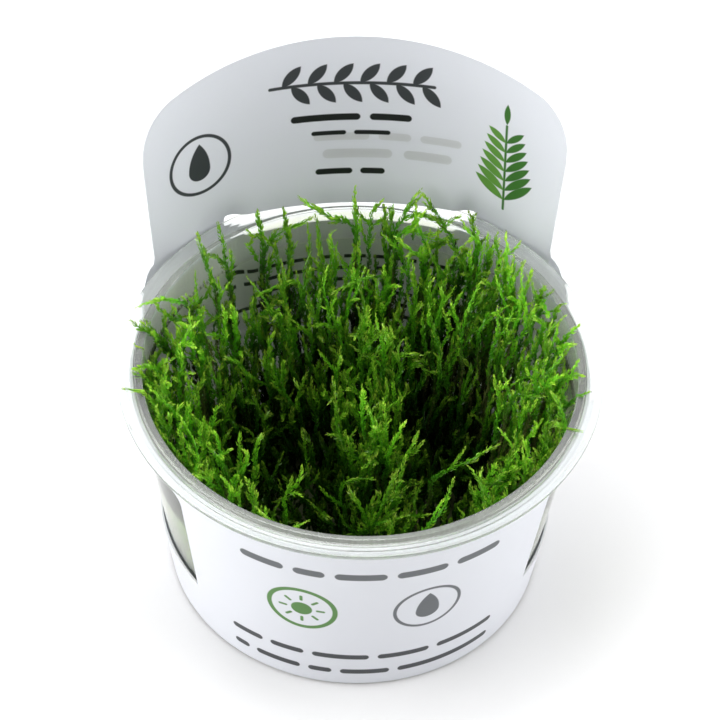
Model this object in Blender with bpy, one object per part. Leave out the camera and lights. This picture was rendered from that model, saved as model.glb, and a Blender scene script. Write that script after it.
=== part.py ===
"""Taiwan moss grown in a clear plastic culture cup, with a printed sleeve around the cup.

The cup stands on its base with the base's centre at the origin and +Z up. The front of the
sleeve faces -Y and the sleeve's tall header stands at +Y. Lengths are metres.
"""
import math

import bmesh
import bpy
import numpy as np

MM = 0.001
GAP = 0.3 * MM

# Cup
BASE_RADIUS = 39.3 * MM
WALL_SLOPE = 0.1355
WALL = 0.9 * MM
FLOOR = 1.0 * MM
BASE_ROUND = 1.6 * MM
SHOULDER_HEIGHT = 47.5 * MM
COLLAR_INNER_RADIUS = 45.3 * MM
FLANGE_RADIUS = 50.5 * MM
FLANGE_TOP = 56.6 * MM
FLANGE_THICKNESS = 0.9 * MM
RIDGE_OUTER_RADIUS = 46.9 * MM
RIM_TOP = 57.2 * MM
CUP_SEGMENTS = 64

# Sleeve
SHEET = 0.4 * MM
SLEEVE_BOTTOM = 0.6 * MM
BAND_TOP = FLANGE_TOP - FLANGE_THICKNESS - GAP
SLOT_TOP = FLANGE_TOP + GAP
SLOT_HALF_ANGLE = math.radians(32.5)
SLOT_DROP = 2.7 * MM
SLOT_RISE = 0.9 * MM
SLOT_ROUND = 2.4 * MM
WINDOW_BOTTOM = 15.3 * MM
WINDOW_TOP = 47.2 * MM
WINDOW_FRONT = math.radians(55.0)
WINDOW_BACK = math.radians(96.0)
WINDOW_ROUND = 3.0 * MM
BAND_LEVELS = [SLEEVE_BOTTOM, WINDOW_BOTTOM, 26.0 * MM, 36.0 * MM, 43.0 * MM, WINDOW_TOP, BAND_TOP]
LOWER_WINDOW_ROW = 1
UPPER_WINDOW_ROW = 5

# Header, the sleeve's tall back
HEADER_DEPTH = 47.5 * MM
HEADER_LEVEL = 57.3 * MM
HEADER_BEND = 66.0 * MM
HEADER_LEAN = math.radians(10.0)
HEADER_HEIGHT = 42.2 * MM
HEADER_HALF_WIDTH = 48.6 * MM
HEADER_FOOT_HALF_WIDTH = 46.4 * MM
HEADER_ARCH = 120.0 * MM
HEADER_SHOULDER = 12.0 * MM
SLOT_COLUMNS = 7
BESIDE_COLUMNS = 8
FOOT_ROWS = (3.0 * MM, 8.0 * MM)
FLARE_START = 14.0 * MM
HEADER_SIDE_ANGLE = math.radians(53.0)
SIDE_FADE = math.radians(18.0)

# Culture gel
GEL_TOP = 6.0 * MM

# Moss: the tips of the leading shoots of each tuft, in mm
BACK_TIPS = (
    (-33.0, 31.5, 63.0),
    (-27.5, 33.0, 66.0),
    (-20.0, 37.0, 62.5),
    (-13.5, 38.0, 65.0),
    (-6.0, 39.0, 61.5),
    (1.0, 39.5, 64.5),
    (8.0, 39.5, 65.5),
    (15.5, 39.0, 68.0),
    (21.5, 37.0, 62.5),
    (27.0, 34.5, 62.5),
)
LEFT_TIPS = (
    (-41.5, 16.5, 59.5),
    (-44.5, 9.5, 61.0),
    (-45.0, -3.0, 58.8),
    (-35.0, -26.5, 54.0),
)
RIGHT_TIPS = (
    (39.0, 20.0, 59.0),
    (44.5, 7.0, 61.5),
    (44.8, -5.0, 58.8),
    (38.0, -20.0, 54.5),
)
FRONT_TIPS = (
    (-23.0, -34.0, 53.0),
    (-6.0, -38.5, 53.5),
    (12.0, -36.0, 53.0),
)
MIDDLE_TIPS = (
    (-2.0, 2.0, 51.0),
    (6.0, -8.0, 50.5),
)
REACH = 8.0 * MM
HOLLOWS = (
    (-20.0, 0.0, 8.0, 12.0, 24.0),
    (23.0, 2.0, 8.0, 10.0, 26.0),
    (4.0, -22.0, 9.0, 4.0, 10.0),
)
BACK_HALF_ANGLE = math.radians(56.0)
SIDE_ANGLE = math.radians(100.0)
SIDE_HALF_ANGLE = math.radians(43.0)
FRONT_HALF_ANGLE = math.radians(36.0)
SIDE_RADIUS = 18.0 * MM
FRONT_RADIUS = 19.5 * MM
MIDDLE_RADIUS = 14.0 * MM
MIDDLE_BACK = 10.0 * MM
MIDDLE_HALF_WIDTH = 14.0 * MM
MIDDLE_HALF_LENGTH = 14.0 * MM


def smooth_step(low, high, value):
    """0 below low, 1 above high, and 3t^2 - 2t^3 between them."""
    t = np.clip((value - low) / (high - low), 0.0, 1.0)
    return t * t * (3.0 - 2.0 * t)


def plain_material(name, colour, roughness, transmission=0.0):
    """A Principled material with one colour and roughness."""
    material = bpy.data.materials.new(name)
    material.use_nodes = True
    shader = material.node_tree.nodes["Principled BSDF"]
    shader.inputs["Base Color"].default_value = (*colour, 1.0)
    shader.inputs["Roughness"].default_value = roughness
    shader.inputs["Metallic"].default_value = 0.0
    shader.inputs["Transmission Weight"].default_value = transmission
    return material


def add_object(name, bm, material, smooth_angle):
    """Turns the finished bmesh into a named object shaded smooth below the angle."""
    bmesh.ops.recalc_face_normals(bm, faces=bm.faces)
    mesh = bpy.data.meshes.new(name)
    bm.to_mesh(mesh)
    bm.free()
    mesh.shade_smooth()
    mesh.set_sharp_from_angle(angle=smooth_angle)
    mesh.materials.append(material)
    thing = bpy.data.objects.new(name, mesh)
    bpy.context.scene.collection.objects.link(thing)
    return thing


def turned_body(name, profile, material):
    """Spins an open profile of (radius, height) points round Z; both ends lie on the axis."""
    bm = bmesh.new()
    verts = [bm.verts.new((radius, 0.0, height)) for radius, height in profile]
    edges = [bm.edges.new(pair) for pair in zip(verts[:-1], verts[1:])]
    bmesh.ops.spin(
        bm,
        geom=verts + edges,
        axis=(0.0, 0.0, 1.0),
        cent=(0.0, 0.0, 0.0),
        angle=2.0 * math.pi,
        steps=CUP_SEGMENTS,
        use_merge=True,
    )
    bmesh.ops.remove_doubles(bm, verts=bm.verts, dist=1e-6)
    return add_object(name, bm, material, math.radians(35.0))


def cup_outer_radius(height):
    """Outer radius of the tapered wall."""
    return BASE_RADIUS + WALL_SLOPE * height


def cup_inner_radius(height):
    """Inner radius of the tapered wall below the shoulder."""
    return cup_outer_radius(height) - WALL


def corner_arc(centre, radius, start, end, steps):
    """Points on a circle about centre, from angle start to angle end."""
    angles = np.linspace(start, end, steps)
    return [(centre[0] + radius * math.cos(a), centre[1] + radius * math.sin(a)) for a in angles]


def make_cup():
    """One moulding: flat base, tapered wall, stacking shoulder, collar, flange and sealing ridge."""
    flange_under = FLANGE_TOP - FLANGE_THICKNESS
    inner_round = BASE_ROUND - 0.5 * WALL
    inner_foot = cup_inner_radius(FLOOR + inner_round)
    outer_foot = cup_outer_radius(BASE_ROUND)
    profile = [(0.0, 0.0)]
    profile += corner_arc((outer_foot - BASE_ROUND, BASE_ROUND), BASE_ROUND, -math.pi / 2, 0.0, 3)
    profile += [
        (cup_outer_radius(SHOULDER_HEIGHT), SHOULDER_HEIGHT),
        (cup_outer_radius(flange_under), flange_under),
        (FLANGE_RADIUS, flange_under),
        (FLANGE_RADIUS, FLANGE_TOP),
        (RIDGE_OUTER_RADIUS, FLANGE_TOP),
        (RIDGE_OUTER_RADIUS - 0.2 * MM, RIM_TOP),
        (COLLAR_INNER_RADIUS + 0.2 * MM, RIM_TOP),
        (COLLAR_INNER_RADIUS, SHOULDER_HEIGHT + 0.8 * MM),
        (cup_inner_radius(SHOULDER_HEIGHT), SHOULDER_HEIGHT),
    ]
    floor_corner = (inner_foot - inner_round, FLOOR + inner_round)
    profile += corner_arc(floor_corner, inner_round, 0.0, -math.pi / 2, 3)
    profile.append((0.0, FLOOR))
    clear = plain_material("clear_plastic", (0.90, 0.95, 0.93), 0.08, 1.0)
    return turned_body("culture_cup", profile, clear)


def make_gel():
    """A disc of culture gel that fills the bottom of the cup inside the wall."""
    bottom = FLOOR + GAP
    lower_round = BASE_ROUND + GAP
    lower_radius = cup_inner_radius(bottom + lower_round) - GAP
    upper_radius = cup_inner_radius(GEL_TOP) - GAP
    profile = [
        (0.0, bottom),
        (lower_radius - lower_round, bottom),
        (lower_radius, bottom + lower_round),
        (upper_radius, GEL_TOP),
        (0.0, GEL_TOP),
    ]
    gel = plain_material("culture_gel", (0.80, 0.82, 0.70), 0.25, 0.6)
    return turned_body("culture_gel", profile, gel)


def sleeve_radius(height):
    """Middle of the sheet where it lies against the cup."""
    return cup_outer_radius(height) + GAP + 0.5 * SHEET


def header_point(along, up):
    """A point of the header: an arc of radius HEADER_BEND carried up a line that leans back.

    along is the distance round the sheet from its middle and up the distance up the sheet.
    """
    turn = along / HEADER_BEND
    sag = HEADER_BEND * (1.0 - np.cos(turn))
    x = HEADER_BEND * np.sin(turn)
    y = HEADER_DEPTH - sag * math.cos(HEADER_LEAN) + up * math.sin(HEADER_LEAN)
    z = HEADER_LEVEL + sag * math.sin(HEADER_LEAN) + up * math.cos(HEADER_LEAN)
    return np.stack([x, y, z], axis=-1)


def header_up_at(along, height):
    """Distance up the sheet at which the header reaches a given height."""
    sag = HEADER_BEND * (1.0 - np.cos(along / HEADER_BEND))
    return (height - HEADER_LEVEL - sag * math.sin(HEADER_LEAN)) / math.cos(HEADER_LEAN)


def header_half_width(up):
    """The header widens slowly from its foot to its shoulders."""
    share = np.clip(up / (HEADER_HEIGHT * 0.5), -0.2, 1.0)
    return HEADER_FOOT_HALF_WIDTH + (HEADER_HALF_WIDTH - HEADER_FOOT_HALF_WIDTH) * share


def header_top(along):
    """Height of the outline: a wide arch, with a round shoulder at each side."""
    across = np.abs(along)
    arch_centre = HEADER_HEIGHT - HEADER_ARCH
    shoulder_across = HEADER_HALF_WIDTH - HEADER_SHOULDER
    reach = HEADER_ARCH - HEADER_SHOULDER
    shoulder_up = arch_centre + math.sqrt(reach**2 - shoulder_across**2)
    arch = arch_centre + np.sqrt(HEADER_ARCH**2 - across**2)
    into_shoulder = np.clip(across - shoulder_across, 0.0, HEADER_SHOULDER)
    shoulder = shoulder_up + np.sqrt(HEADER_SHOULDER**2 - into_shoulder**2)
    meeting = shoulder_across * HEADER_ARCH / reach
    return np.where(across < meeting, arch, shoulder)


def clear_of_flange(points):
    """Pushes the sheet out past the flange's edge between the slot and the header's sides.

    The push is what is missing to a radius just outside the flange, faded in beside the slot,
    faded out beyond the header's sides and faded out above and below the flange.
    """
    radius = np.hypot(points[..., 0], points[..., 1])
    angle = np.abs(np.arctan2(points[..., 0], points[..., 1]))
    needed = FLANGE_RADIUS + GAP + 0.5 * SHEET + 0.2 * MM
    beside = smooth_step(SLOT_HALF_ANGLE - math.radians(6.0), SLOT_HALF_ANGLE, angle)
    beside = beside * (1.0 - smooth_step(HEADER_SIDE_ANGLE, HEADER_SIDE_ANGLE + SIDE_FADE, angle))
    below = smooth_step(BAND_TOP - 14.0 * MM, BAND_TOP, points[..., 2])
    above = 1.0 - smooth_step(SLOT_TOP, SLOT_TOP + 9.0 * MM, points[..., 2])
    push = np.maximum(needed - radius, 0.0) * beside * below * above
    scale = 1.0 + push / radius
    return np.stack([points[..., 0] * scale, points[..., 1] * scale, points[..., 2]], axis=-1)


def slot_half_length():
    """Distance round the sheet from the middle of the slot to its end."""
    along = np.linspace(0.0, HEADER_FOOT_HALF_WIDTH, 400)
    foot = header_point(along, header_up_at(along, BAND_TOP))
    return float(np.interp(SLOT_HALF_ANGLE, np.arctan2(foot[:, 0], foot[:, 1]), along))


def slot_opening(along):
    """How far the slot is open at a place: 0 beyond its end, 1 in its run, a quarter circle between."""
    from_end = np.clip((slot_half_length() - abs(along)) / SLOT_ROUND, 0.0, 1.0)
    return float(np.sqrt(1.0 - (1.0 - from_end) ** 2))


def header_columns():
    """Places across the header from -1 to 1.

    They are even along the slot, follow the quarter circle at its end and draw closer together
    towards the header's side.
    """
    end = slot_half_length()
    run = np.linspace(0.0, end - SLOT_ROUND, SLOT_COLUMNS)
    corner = end - SLOT_ROUND * (1.0 - np.cos(np.radians([60.0, 30.0, 0.0])))
    beside = end + (HEADER_FOOT_HALF_WIDTH - end) * np.sin(np.linspace(0.0, math.pi / 2, BESIDE_COLUMNS))
    half = np.concatenate([run, corner, beside[1:]]) / HEADER_FOOT_HALF_WIDTH
    return np.concatenate([-half[:0:-1], half])


def ring_angles():
    """Angles from the back round to the front for the columns beyond the header."""
    foot = header_point(np.array(HEADER_FOOT_HALF_WIDTH), header_up_at(HEADER_FOOT_HALF_WIDTH, BAND_TOP))
    side = math.atan2(foot[0], foot[1])
    back = math.pi - WINDOW_BACK
    front = math.pi - WINDOW_FRONT
    rounding = math.asin(WINDOW_ROUND / sleeve_radius(WINDOW_TOP))
    behind_window = np.linspace(side, back, 7)[1:]
    window = [back + rounding * t for t in (0.15, 0.45, 1.0)]
    window += list(np.linspace(back + rounding, front - rounding, 7)[1:])
    window += [front - rounding * t for t in (0.45, 0.15, 0.0)]
    panel = np.linspace(front, math.pi, 12)[1:]
    return side, np.concatenate([behind_window, window, panel])


def band_point(angle, height, foot_radius):
    """A point of the sleeve below the flange.

    The radius is the cup's cone plus a flare that grows as the square of the height above
    FLARE_START, up to foot_radius at the band's top.
    """
    rise = np.clip((height - FLARE_START) / (BAND_TOP - FLARE_START), 0.0, 1.0)
    radius = sleeve_radius(height) + (foot_radius - sleeve_radius(BAND_TOP)) * rise**1.6
    return np.array([radius * math.sin(angle), radius * math.cos(angle), height])


def window_edge(angle):
    """Lowest and highest height of the side window at an angle, or None beside it."""
    back = math.pi - WINDOW_BACK
    front = math.pi - WINDOW_FRONT
    if angle < back - 1e-9 or angle > front + 1e-9:
        return None
    into = min(angle - back, front - angle) * sleeve_radius(WINDOW_TOP)
    rest = max(WINDOW_ROUND - into, 0.0)
    drop = WINDOW_ROUND - math.sqrt(max(WINDOW_ROUND**2 - rest**2, 0.0))
    return WINDOW_BOTTOM, WINDOW_TOP - drop


def band_heights(angle, opening):
    """Heights of the rows in one column; they follow the edges of the windows and of the slot."""
    heights = list(BAND_LEVELS)
    heights[-1] -= SLOT_DROP * opening
    edge = window_edge(angle)
    if edge is not None:
        rows = UPPER_WINDOW_ROW - LOWER_WINDOW_ROW
        for row in range(rows + 1):
            heights[LOWER_WINDOW_ROW + row] = edge[0] + (edge[1] - edge[0]) * row / rows
    return heights


def sleeve_columns():
    """One (angle, foot radius, slot opening) for each column, with the header columns' places.

    The columns run from the header's left side round the back to its right side and on round the
    front. The foot radius is the sheet's radius at the band's top. Beyond the header's sides it
    fades from the header's own to that of the cup.
    """
    side_angle, beyond = ring_angles()
    shares = header_columns()
    columns = []
    for share in shares:
        along = share * HEADER_FOOT_HALF_WIDTH
        foot = clear_of_flange(header_point(np.array(along), header_up_at(along, BAND_TOP)))
        columns.append((math.atan2(foot[0], foot[1]), math.hypot(foot[0], foot[1]), slot_opening(along)))
    side_radius = columns[-1][1]
    cup_radius = sleeve_radius(BAND_TOP)
    fade = 1.0 - smooth_step(side_angle, side_angle + SIDE_FADE, beyond)
    radii = cup_radius + (side_radius - cup_radius) * fade
    right = [(angle, radius, 0.0) for angle, radius in zip(beyond, radii)]
    left = [(-angle, radius, 0.0) for angle, radius, _ in right[-2::-1]]
    return columns + right + left, shares


def add_band(bm, columns):
    """The part of the sheet below the flange, all the way round, without its windows."""
    band = []
    for angle, radius, opening in columns:
        heights = band_heights(abs(angle), opening)
        points = [band_point(angle, height, radius) for height in heights]
        band.append([bm.verts.new(clear_of_flange(point)) for point in points])
    window_back = math.pi - WINDOW_BACK
    window_front = math.pi - WINDOW_FRONT
    for i, (angle, _, _) in enumerate(columns):
        j = (i + 1) % len(columns)
        middle = 0.5 * (abs(angle) + abs(columns[j][0]))
        at_window = window_back < middle < window_front and angle * columns[j][0] > 0.0
        for row in range(len(BAND_LEVELS) - 1):
            if at_window and LOWER_WINDOW_ROW <= row < UPPER_WINDOW_ROW:
                continue
            bm.faces.new((band[i][row], band[j][row], band[j][row + 1], band[i][row + 1]))
    return band


def add_header(bm, columns, band, shares):
    """The part of the sheet above the flange, joined to the band on both sides of the slot."""
    tall = []
    for k, share in enumerate(shares):
        along = share * HEADER_FOOT_HALF_WIDTH
        rise = SLOT_RISE * (along / slot_half_length()) ** 2 * slot_opening(along)
        low = float(header_up_at(along, SLOT_TOP + rise))
        high = float(header_top(share * HEADER_HALF_WIDTH))
        ups = [low, low + FOOT_ROWS[0], low + FOOT_ROWS[1], 0.5 * (low + high), high]
        points = [header_point(np.array(share * header_half_width(up)), up) for up in ups]
        tall.append([bm.verts.new(clear_of_flange(point)) for point in points])
        if k == 0:
            continue
        for row in range(len(ups) - 1):
            bm.faces.new((tall[k - 1][row], tall[k][row], tall[k][row + 1], tall[k - 1][row + 1]))
        middle = 0.5 * (columns[k - 1][0] + columns[k][0])
        if abs(middle) > SLOT_HALF_ANGLE:
            bm.faces.new((band[k - 1][-1], band[k][-1], tall[k][0], tall[k - 1][0]))


def sleeve_surface():
    """The middle surface of the sheet as a bmesh of quads, with its slot and both windows open."""
    bm = bmesh.new()
    columns, shares = sleeve_columns()
    band = add_band(bm, columns)
    add_header(bm, columns, band, shares)
    bmesh.ops.recalc_face_normals(bm, faces=bm.faces)
    return bm


def thicken(bm, thickness):
    """Gives an open sheet its thickness: a copy on each side of it and a strip round each edge."""
    bm.normal_update()
    bm.verts.ensure_lookup_table()
    spots = np.array([v.co for v in bm.verts])
    normals = np.array([v.normal for v in bm.verts])
    faces = [[v.index for v in f.verts] for f in bm.faces]
    rims = [[loop.vert.index, loop.link_loop_next.vert.index] for e in bm.edges if e.is_boundary
            for loop in e.link_loops]
    bm.free()
    body = bmesh.new()
    outer = [body.verts.new(p) for p in spots + normals * (0.5 * thickness)]
    inner = [body.verts.new(p) for p in spots - normals * (0.5 * thickness)]
    for face in faces:
        body.faces.new([outer[i] for i in face])
        body.faces.new([inner[i] for i in reversed(face)])
    for a, b in rims:
        body.faces.new((outer[b], outer[a], inner[a], inner[b]))
    return body


def make_sleeve():
    """The printed sleeve: one sheet with a window at each side, a slot for the flange, a header."""
    sheet = plain_material("printed_sheet", (0.90, 0.91, 0.93), 0.45)
    return add_object("sleeve_label", thicken(sleeve_surface(), SHEET), sheet, math.radians(30.0))


def sector(middle, half_angle, near, far):
    """Maps u, v in -1..1 to a piece of a ring about the cup's axis, angles from +Y towards +X."""
    def place(u, v):
        angle = middle + half_angle * u
        radius = 0.5 * (near + far) + 0.5 * (far - near) * v
        return radius * np.sin(angle), radius * np.cos(angle)
    return place


def oval(centre_x, centre_y, half_x, half_y):
    """Maps the square u, v in -1..1 onto an oval."""
    def place(u, v):
        x = centre_x + half_x * u * np.sqrt(1.0 - 0.5 * v * v)
        y = centre_y + half_y * v * np.sqrt(1.0 - 0.5 * u * u)
        return x, y
    return place


def make_clump(name, place, size, notch, leading_tips, seed, colour):
    """One tuft of moss: a body that follows the cup's taper, with a top of pointed shoots.

    The top is a grid over the tuft's plan. Every second point is the tip of a shoot at the
    crown's height, the points between are notches, and the whole leans out with the cup's wall.
    Each leading tip takes the nearest free tip of the grid to its own place.
    """
    rng = np.random.default_rng(seed)
    across, deep = size
    u, v = np.meshgrid(np.linspace(-1.0, 1.0, across), np.linspace(-1.0, 1.0, deep), indexing="ij")
    rows, cols = np.meshgrid(np.arange(across), np.arange(deep), indexing="ij")
    inside = (rows > 0) & (rows < across - 1) & (cols > 0) & (cols < deep - 1)
    tip = inside & ((rows + cols) % 2 == 0)
    x, y = place(u, v)
    bottom = GEL_TOP + GAP
    height = crown(x / MM, y / MM) * MM
    height = height + np.where(tip, rng.uniform(-2.5, 2.5, u.shape) * MM, 0.0)
    height = height - np.where(tip, 0.0, notch * rng.uniform(0.8, 1.2, u.shape))
    spread = 1.0 + (height - bottom) * WALL_SLOPE / BASE_RADIUS
    top = np.stack([x * spread, y * spread, height], axis=-1)
    for lead in np.array(leading_tips) * MM:
        distance = np.hypot(top[..., 0] - lead[0], top[..., 1] - lead[1])
        distance = distance + np.where(tip, 0.0, REACH)
        nearest = np.unravel_index(np.argmin(distance), distance.shape)
        top[nearest] = lead
        tip[nearest] = False
    bm = bmesh.new()
    upper = [[bm.verts.new(top[i, j]) for j in range(deep)] for i in range(across)]
    for i in range(across - 1):
        for j in range(deep - 1):
            a, b, c, d = upper[i][j], upper[i + 1][j], upper[i + 1][j + 1], upper[i][j + 1]
            if (i + j) % 2 == 0:
                bm.faces.new((a, b, c))
                bm.faces.new((a, c, d))
            else:
                bm.faces.new((a, b, d))
                bm.faces.new((b, c, d))
    rim = [(i, 0) for i in range(across)]
    rim += [(across - 1, j) for j in range(1, deep)]
    rim += [(i, deep - 1) for i in range(across - 2, -1, -1)]
    rim += [(0, j) for j in range(deep - 2, 0, -1)]
    lower = [bm.verts.new((x[i, j], y[i, j], bottom)) for i, j in rim]
    for k in range(len(rim)):
        n = (k + 1) % len(rim)
        bm.faces.new((upper[rim[k][0]][rim[k][1]], upper[rim[n][0]][rim[n][1]], lower[n], lower[k]))
    bm.faces.new(lower)
    moss = plain_material(name, colour, 0.6)
    return add_object(name, bm, moss, math.radians(40.0))


def crown(x, y):
    """Height of the moss in mm over a point of the plan in mm.

    It rises towards the wall and towards the back, with a deep hollow on each side of the middle
    tuft. A hollow is a dip that falls off as exp(-d^2), d being the distance from its centre in
    hollow widths.
    """
    height = 44.0 + 6.0 * (np.hypot(x, y) / 38.0) ** 2 + 0.10 * y
    for centre_x, centre_y, wide, long, depth in HOLLOWS:
        distance = np.hypot((x - centre_x) / wide, (y - centre_y) / long)
        height = height - depth * np.exp(-distance**2)
    return height


def make_moss():
    """Five tufts with hollows between them: back, left, right, front and middle."""
    wall = cup_inner_radius(GEL_TOP) - 0.8 * MM
    green = (0.10, 0.28, 0.03)
    back = sector(0.0, BACK_HALF_ANGLE, MIDDLE_RADIUS, wall)
    left = sector(-SIDE_ANGLE, SIDE_HALF_ANGLE, SIDE_RADIUS, wall)
    right = sector(SIDE_ANGLE, SIDE_HALF_ANGLE, SIDE_RADIUS, wall)
    front = sector(math.pi, FRONT_HALF_ANGLE, FRONT_RADIUS, wall)
    middle = oval(0.0, MIDDLE_BACK - MIDDLE_HALF_LENGTH, MIDDLE_HALF_WIDTH, MIDDLE_HALF_LENGTH)
    make_clump("moss_back", back, (23, 8), 10.0 * MM, BACK_TIPS, 11, green)
    make_clump("moss_left", left, (18, 6), 9.0 * MM, LEFT_TIPS, 12, green)
    make_clump("moss_right", right, (18, 6), 9.0 * MM, RIGHT_TIPS, 13, green)
    make_clump("moss_front", front, (15, 6), 8.0 * MM, FRONT_TIPS, 14, green)
    make_clump("moss_middle", middle, (9, 9), 8.0 * MM, MIDDLE_TIPS, 15, green)


def main():
    for thing in list(bpy.data.objects):
        bpy.data.objects.remove(thing, do_unlink=True)
    make_cup()
    make_gel()
    make_sleeve()
    make_moss()


main()
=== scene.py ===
"""A clear culture cup of Taiwan moss in its printed sleeve, on a pale floor in soft light."""

import math

import bpy
import numpy as np
from mathutils import Matrix, Vector


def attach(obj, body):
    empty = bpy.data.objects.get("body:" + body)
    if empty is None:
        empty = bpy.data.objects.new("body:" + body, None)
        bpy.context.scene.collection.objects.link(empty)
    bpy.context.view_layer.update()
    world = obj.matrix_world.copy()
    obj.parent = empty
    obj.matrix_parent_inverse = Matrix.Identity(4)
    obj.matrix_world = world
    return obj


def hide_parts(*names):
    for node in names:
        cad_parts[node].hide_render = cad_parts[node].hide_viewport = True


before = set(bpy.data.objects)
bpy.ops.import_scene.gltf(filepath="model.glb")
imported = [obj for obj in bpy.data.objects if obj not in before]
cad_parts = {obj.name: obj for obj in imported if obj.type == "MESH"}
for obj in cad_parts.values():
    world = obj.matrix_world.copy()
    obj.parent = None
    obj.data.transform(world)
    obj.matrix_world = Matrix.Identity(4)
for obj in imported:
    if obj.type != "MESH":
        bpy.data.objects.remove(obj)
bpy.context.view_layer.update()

MM = 0.001
TURN = 2.0 * math.pi

# Cup, as in the CAD
BASE_RADIUS = 39.3
WALL_SLOPE = 0.1355
WALL = 0.9
FLOOR = 1.0
BASE_ROUND = 1.6
SHOULDER_HEIGHT = 47.5
COLLAR_INNER_RADIUS = 45.3
FLANGE_RADIUS = 50.5
FLANGE_TOP = 56.6
FLANGE_UNDER = 55.7
RIDGE_OUTER_RADIUS = 46.9
RIM_TOP = 57.2
EDGE = 0.3
MOUTH_ROUND = 0.35

# The shallow groove round the flange: radii, and depths under its top
FLANGE_GROOVE = ((49.6, 0.0), (49.3, 0.12), (49.0, 0.0))

# Edges that bend by more than this many degrees stay crisp
SHARP_ANGLE = 50.0

CUP_SEGMENTS = 224
GEL_SEGMENTS = 96

# Sleeve, as in the CAD
GAP = 0.3
SHEET = 0.4
SLEEVE_BOTTOM = 0.6
BAND_TOP = FLANGE_UNDER - GAP
SLOT_TOP = FLANGE_TOP + GAP
SLOT_HALF_ANGLE = math.radians(32.5)
SLOT_DROP = 2.7
SLOT_RISE = 0.9
SLOT_ROUND = 2.4
WINDOW_BOTTOM = 15.3
WINDOW_TOP = 47.2
WINDOW_FRONT = math.radians(55.0)
WINDOW_BACK = math.radians(96.0)
WINDOW_ROUND = 3.0
HEADER_DEPTH = 47.5
HEADER_LEVEL = 57.3
HEADER_BEND = 66.0
HEADER_LEAN = math.radians(10.0)
HEADER_HEIGHT = 42.2
HEADER_HALF_WIDTH = 48.6
HEADER_FOOT_HALF_WIDTH = 46.4
HEADER_ARCH = 120.0
HEADER_SHOULDER = 12.0
HEADER_SIDE_ANGLE = math.radians(53.0)
SIDE_FADE = math.radians(18.0)
FLARE_START = 14.0
FLARE_CURVE = 1.6

# Where the sheet bulges past the flange's edge: room left, fade before the slot's end, and
# fades below the band's top and above the slot
FLANGE_ROOM = 0.2
BULGE_START = math.radians(6.0)
BULGE_BELOW = 14.0
BULGE_ABOVE = 9.0

# Rows of the sleeve's grids: below the windows, beside them, above them, and of the header
LOW_ROWS = 7
WINDOW_ROWS = 11
HIGH_ROWS = 7
HEADER_ROWS = 29
HEADER_ROW_CURVE = 1.15

GEL_TOP = 6.0
MOSS_BOTTOM = GEL_TOP + GAP


def smooth_step(low, high, value):
    """0 below low, 1 above high, and 3t^2 - 2t^3 between them."""
    t = np.clip((value - low) / (high - low), 0.0, 1.0)
    return t * t * (3.0 - 2.0 * t)


# Meshes


def mesh_piece(name, points, faces, materials, smooth=True, material_index=None, corner_uv=None):
    """A new object from arrays: points in mm, faces of equal length, one row of indices each."""
    mesh = bpy.data.meshes.new(name)
    points = np.asarray(points, dtype=np.float64) * MM
    faces = np.asarray(faces, dtype=np.int32)
    count, sides = faces.shape
    mesh.vertices.add(len(points))
    mesh.vertices.foreach_set("co", points.ravel())
    mesh.loops.add(count * sides)
    mesh.loops.foreach_set("vertex_index", faces.ravel())
    mesh.polygons.add(count)
    mesh.polygons.foreach_set("loop_start", np.arange(count, dtype=np.int32) * sides)
    if corner_uv is not None:
        layer = mesh.uv_layers.new(name="Pattern")
        layer.data.foreach_set("uv", np.asarray(corner_uv, dtype=np.float64).ravel())
    for material in materials:
        mesh.materials.append(material)
    if material_index is not None:
        mesh.polygons.foreach_set("material_index", np.asarray(material_index, dtype=np.int32))
    mesh.update(calc_edges=True)
    mesh.validate()
    if smooth:
        mesh.shade_smooth()
    else:
        mesh.shade_flat()
    thing = bpy.data.objects.new(name, mesh)
    bpy.context.scene.collection.objects.link(thing)
    return thing


def turned_piece(name, profile, segments, materials, sharp_angle, change_at=0.0):
    """A closed body of revolution: rings of the profile (radius, height) and two centre fans.

    Ring point i at angle a is (r cos a, r sin a, z). The profile runs from the axis to the axis,
    up the outer side first, and its two end points are on the axis. The second material, if there
    is one, is on the faces whose middle is above the height change_at.
    """
    profile = np.asarray(profile, dtype=np.float64)
    rings = profile[1:-1]
    angles = np.arange(segments) * TURN / segments
    x = rings[:, 0, None] * np.cos(angles)
    y = rings[:, 0, None] * np.sin(angles)
    z = np.repeat(rings[:, 1, None], segments, axis=1)
    points = np.stack([x, y, z], axis=-1).reshape(-1, 3)
    centres = np.array([[0.0, 0.0, profile[0, 1]], [0.0, 0.0, profile[-1, 1]]])
    points = np.concatenate([points, centres])
    ring, step = np.meshgrid(np.arange(len(rings) - 1), np.arange(segments), indexing="ij")
    here = ring * segments + step
    after = ring * segments + (step + 1) % segments
    quads = np.stack([here, after, after + segments, here + segments], axis=-1).reshape(-1, 4)
    first = np.arange(segments)
    second = (first + 1) % segments
    last_ring = (len(rings) - 1) * segments
    low_centre = np.full(segments, len(points) - 2)
    high_centre = np.full(segments, len(points) - 1)
    low = np.stack([second, first, low_centre], axis=-1)
    high = np.stack([first + last_ring, second + last_ring, high_centre], axis=-1)
    triangles = np.concatenate([quads[:, [0, 1, 2]], quads[:, [0, 2, 3]], low, high])
    upper = points[triangles, 2].mean(axis=1) > change_at
    kinds = upper * (len(materials) - 1)
    thing = mesh_piece(name, points, triangles, materials, material_index=kinds)
    thing.data.set_sharp_from_angle(angle=math.radians(sharp_angle))
    return thing


# Node graphs


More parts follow.
